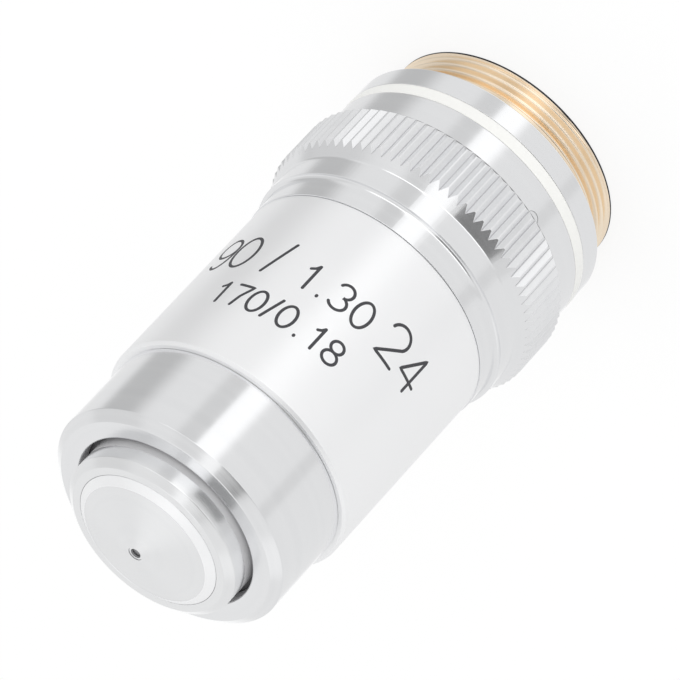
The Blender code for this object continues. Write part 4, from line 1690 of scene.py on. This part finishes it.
class InnerPieces:
    """Pieces that are closed in by the others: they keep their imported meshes."""

    CELLS = ("glare_stop", "height_lock_ring", "stack_retainer", "meniscus_cell",
             "spacer_front", "middle_cell", "spacer_middle", "rear_cell")
    LENSES = ("meniscus_lens", "middle_crown", "middle_flint", "rear_crown", "rear_flint")
    FINISHES: dict[str, Finish] = {
        "guide_tube": PLAIN_BRASS,
        "guide_screw": STEEL,
        **dict.fromkeys(CELLS, BLACK_OXIDE_AND_RIM_SHADE),
        **dict.fromkeys(LENSES, LENS_GLASS),
    }

    def build(self) -> None:
        """Give every carried-over node its finish."""
        for node, finish in self.FINISHES.items():
            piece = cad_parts[node]
            piece.data.materials.clear()
            piece.data.materials.append(finish.material())
            LOG.info("%s: packed mesh, %s", node, finish.name)


# Studio

@dataclass(frozen=True)
class Card:
    """A card of the light tent: where it stands, how soft its edges are, how bright it is.

    The azimuth is in degrees from the front (-Y) towards +X, and the heights are
    elevations in degrees as seen from the object.
    """

    azimuth: float
    half_width: float
    near_edge: float
    far_edge: float
    low: float
    high: float
    edge: float
    level: float

    def mask(self, tree: Tree, x: NodeLink, y: NodeLink, rise: NodeLink) -> NodeLink:
        """Return a mask that is 1 on the card.

        Args:
            tree: the world's tree.
            x: the direction's X.
            y: its Y.
            rise: its elevation in degrees.

        Returns:
            The mask.
        """
        turn = math.radians(self.azimuth)
        sine, cosine = math.sin(turn), math.cos(turn)
        forward = tree.math("ADD", tree.math("MULTIPLY", x, sine), tree.math("MULTIPLY", y, -cosine))
        sideways = tree.math("ADD", tree.math("MULTIPLY", x, cosine), tree.math("MULTIPLY", y, sine))
        degrees = tree.math("MULTIPLY", tree.math("ARCTAN2", sideways, forward), TO_DEGREES)
        sides = [
            tree.ramp(value, middle - width / 2, middle + width / 2)
            for value, middle, width in (
                (degrees, -self.half_width, self.near_edge),
                (tree.math("MULTIPLY", degrees, -1.0), -self.half_width, self.far_edge),
                (rise, self.low, self.edge),
                (tree.math("MULTIPLY", rise, -1.0), -self.high, self.edge),
            )
        ]
        mask = sides[0]
        for side in sides[1:]:
            mask = tree.math("MULTIPLY", mask, side)
        return mask


@dataclass
class Studio:
    """Floor, light tent, lamps and camera."""

    floor_radius: float = 2.6
    floor_steps: int = 96
    floor_colour: Colour = (0.94, 0.94, 0.94)
    floor_roughness: float = 0.9
    floor_share: float = 0.86
    tent_level: float = 0.84
    ground_level: float = 1.15
    ground_rise: Flat = (-75.0, -50.0)
    zenith_level: float = 1.10
    zenith_rise: Flat = (68.0, 80.0)
    diffuse_level: float = 0.70
    lamp_size: float = 0.60
    lamp_power: float = 2.0
    overhead: Point = (0.05, 0.10, 0.75)
    front: Point = (0.0, -0.75, 0.45)
    lens: float = 353.07
    clip: Flat = (0.01, 10.0)
    distance: float = 503.13 * MM
    elevation: float = math.radians(33.47)
    roll: float = math.radians(-137.31)
    aim: Point = (-0.40 * MM, 0.0, 22.52 * MM)
    cards: tuple[Card, ...] = (
        Card(14.0, 11.0, 9.0, 1.5, -60.0, 46.0, 8.0, 1.16),
        Card(35.0, 9.0, 1.5, 8.0, -60.0, 46.0, 8.0, 0.70),
        Card(106.0, 20.0, 22.0, 16.0, -60.0, 4.0, 8.0, 0.55),
        Card(100.0, 24.0, 22.0, 16.0, 4.0, 38.0, 8.0, 0.70),
        Card(180.0, 14.0, 18.0, 18.0, -50.0, -4.0, 8.0, 1.08),
        Card(-57.0, 6.0, 5.0, 5.0, -60.0, 46.0, 8.0, 0.74),
        Card(8.0, 48.0, 10.0, 10.0, 2.0, 20.0, 6.0, 1.50),
        Card(180.0, 30.0, 20.0, 20.0, 14.0, 56.0, 8.0, 0.87),
        Card(180.0, 30.0, 30.0, 30.0, 56.0, 74.0, 6.0, 0.97),
        Card(-108.0, 16.0, 12.0, 12.0, 24.0, 50.0, 8.0, 0.95),
        Card(112.0, 22.0, 12.0, 12.0, 24.0, 50.0, 8.0, 0.74),
        Card(-26.0, 22.0, 8.0, 3.0, 20.0, 66.5, 3.0, 0.22),
        Card(8.0, 13.0, 4.0, 8.0, 52.0, 80.0, 4.0, 1.06),
        Card(44.0, 16.0, 8.0, 8.0, 52.0, 78.0, 4.0, 0.76),
    )

    def build_floor(self) -> None:
        """Build the pale floor, which keeps the object's shadow."""
        ring = circle(self.floor_radius, 0.0, self.floor_steps)
        mesh = new_mesh("floor", ring, [list(range(self.floor_steps))])
        mesh.materials.append(self.floor_material())
        floor = link("pale_floor", mesh)
        floor.visible_glossy = False
        floor.visible_transmission = False

    def floor_material(self) -> bpy.types.Material:
        """Return the floor's material: matt, with plain white mixed in for the camera.

        Returns:
            The material.
        """
        material, tree, shader = start_material("pale_floor_card")
        tree.feed_all(shader, {
            "Base Color": self.floor_colour,
            "Roughness": self.floor_roughness,
            "Specular IOR Level": 0.0,
        })
        white = tree.add("Emission")
        tree.feed_all(white, {"Strength": 1.0})
        mix = tree.add("MixShader")
        camera = tree.add("LightPath").outputs["Is Camera Ray"]
        share = tree.math("MULTIPLY", camera, self.floor_share)
        tree.feed_all(mix, {0: share, 1: shader.outputs[0], 2: white.outputs[0]})
        tree.feed(tree.tree.nodes["Material Output"].inputs["Surface"], mix.outputs[0])
        material.cycles.emission_sampling = "NONE"
        return material

    def build_tent(self) -> None:
        """Build the world: white for the camera, even for matt surfaces, cards for metal."""
        world = bpy.data.worlds.new("light_tent")
        bpy.context.scene.world = world
        world.use_nodes = True
        world.cycles.sampling_method = "NONE"
        tree = Tree(world.node_tree)
        parts = tree.add("SeparateXYZ")
        tree.feed(parts.inputs[0], tree.add("TexCoord").outputs["Generated"])
        x, y, z = parts.outputs
        rise = tree.math("MULTIPLY", tree.math("ARCSINE", z), TO_DEGREES)
        level = tree.blend(tree.ramp(rise, *self.ground_rise), self.ground_level, self.tent_level)
        level = tree.blend(tree.ramp(rise, *self.zenith_rise), level, self.zenith_level)
        for card in self.cards:
            level = tree.blend(card.mask(tree, x, y, rise), level, card.level)
        path = tree.add("LightPath").outputs
        seen = tree.math("MAXIMUM", path["Is Glossy Ray"], path["Is Transmission Ray"])
        strength = tree.blend(seen, self.diffuse_level, level)
        strength = tree.blend(path["Is Camera Ray"], strength, 1.0)
        background = world.node_tree.nodes["Background"]
        tree.feed_all(background, {"Color": (1.0, 1.0, 1.0), "Strength": strength})

    def add_lamp(self, name: str, place: Point) -> None:
        """Add a square lamp that looks at the object.

        Args:
            name: name of the lamp.
            place: where it stands.
        """
        lamp = bpy.data.lights.new(name, "AREA")
        lamp.size = self.lamp_size
        lamp.energy = self.lamp_power
        stand = link(name, lamp)
        stand.location = place
        look = Vector(self.aim) - Vector(place)
        stand.rotation_euler = look.to_track_quat("-Z", "Y").to_euler()
        stand.visible_glossy = False
        stand.visible_camera = False

    def place_camera(self) -> None:
        """Place the camera at the photograph's viewing angle."""
        data = bpy.data.cameras.new("camera")
        data.lens = self.lens
        data.clip_start, data.clip_end = self.clip
        camera = link("camera", data)
        back = Vector((0.0, -math.cos(self.elevation), math.sin(self.elevation)))
        level = back.to_track_quat("Z", "Y").to_matrix().to_4x4()
        tilt = Matrix.Rotation(self.roll, 4, "Z")
        place = Matrix.Translation(Vector(self.aim) + back * self.distance)
        camera.matrix_world = place @ level @ tilt
        bpy.context.scene.camera = camera

    def build(self) -> None:
        """Set up the whole studio."""
        bpy.context.scene.view_settings.view_transform = "Standard"
        self.build_floor()
        self.build_tent()
        self.add_lamp("overhead_softbox", self.overhead)
        self.add_lamp("front_softbox", self.front)
        self.place_camera()


def main() -> None:
    """Build the studio and then the objective, from the thread to the nose."""
    logging.basicConfig(level=logging.INFO, format="%(name)s: %(message)s")
    Studio().build()
    ThreadMount().build()
    ShoulderRing().build()
    KnurledCollar().build()
    BarrelSleeve().build()
    Engraving().build()
    FrontCollar().build()
    SprungBarrel().build()
    NoseSpring().build()
    InnerPieces().build()


if __name__ == "__main__":
    main()
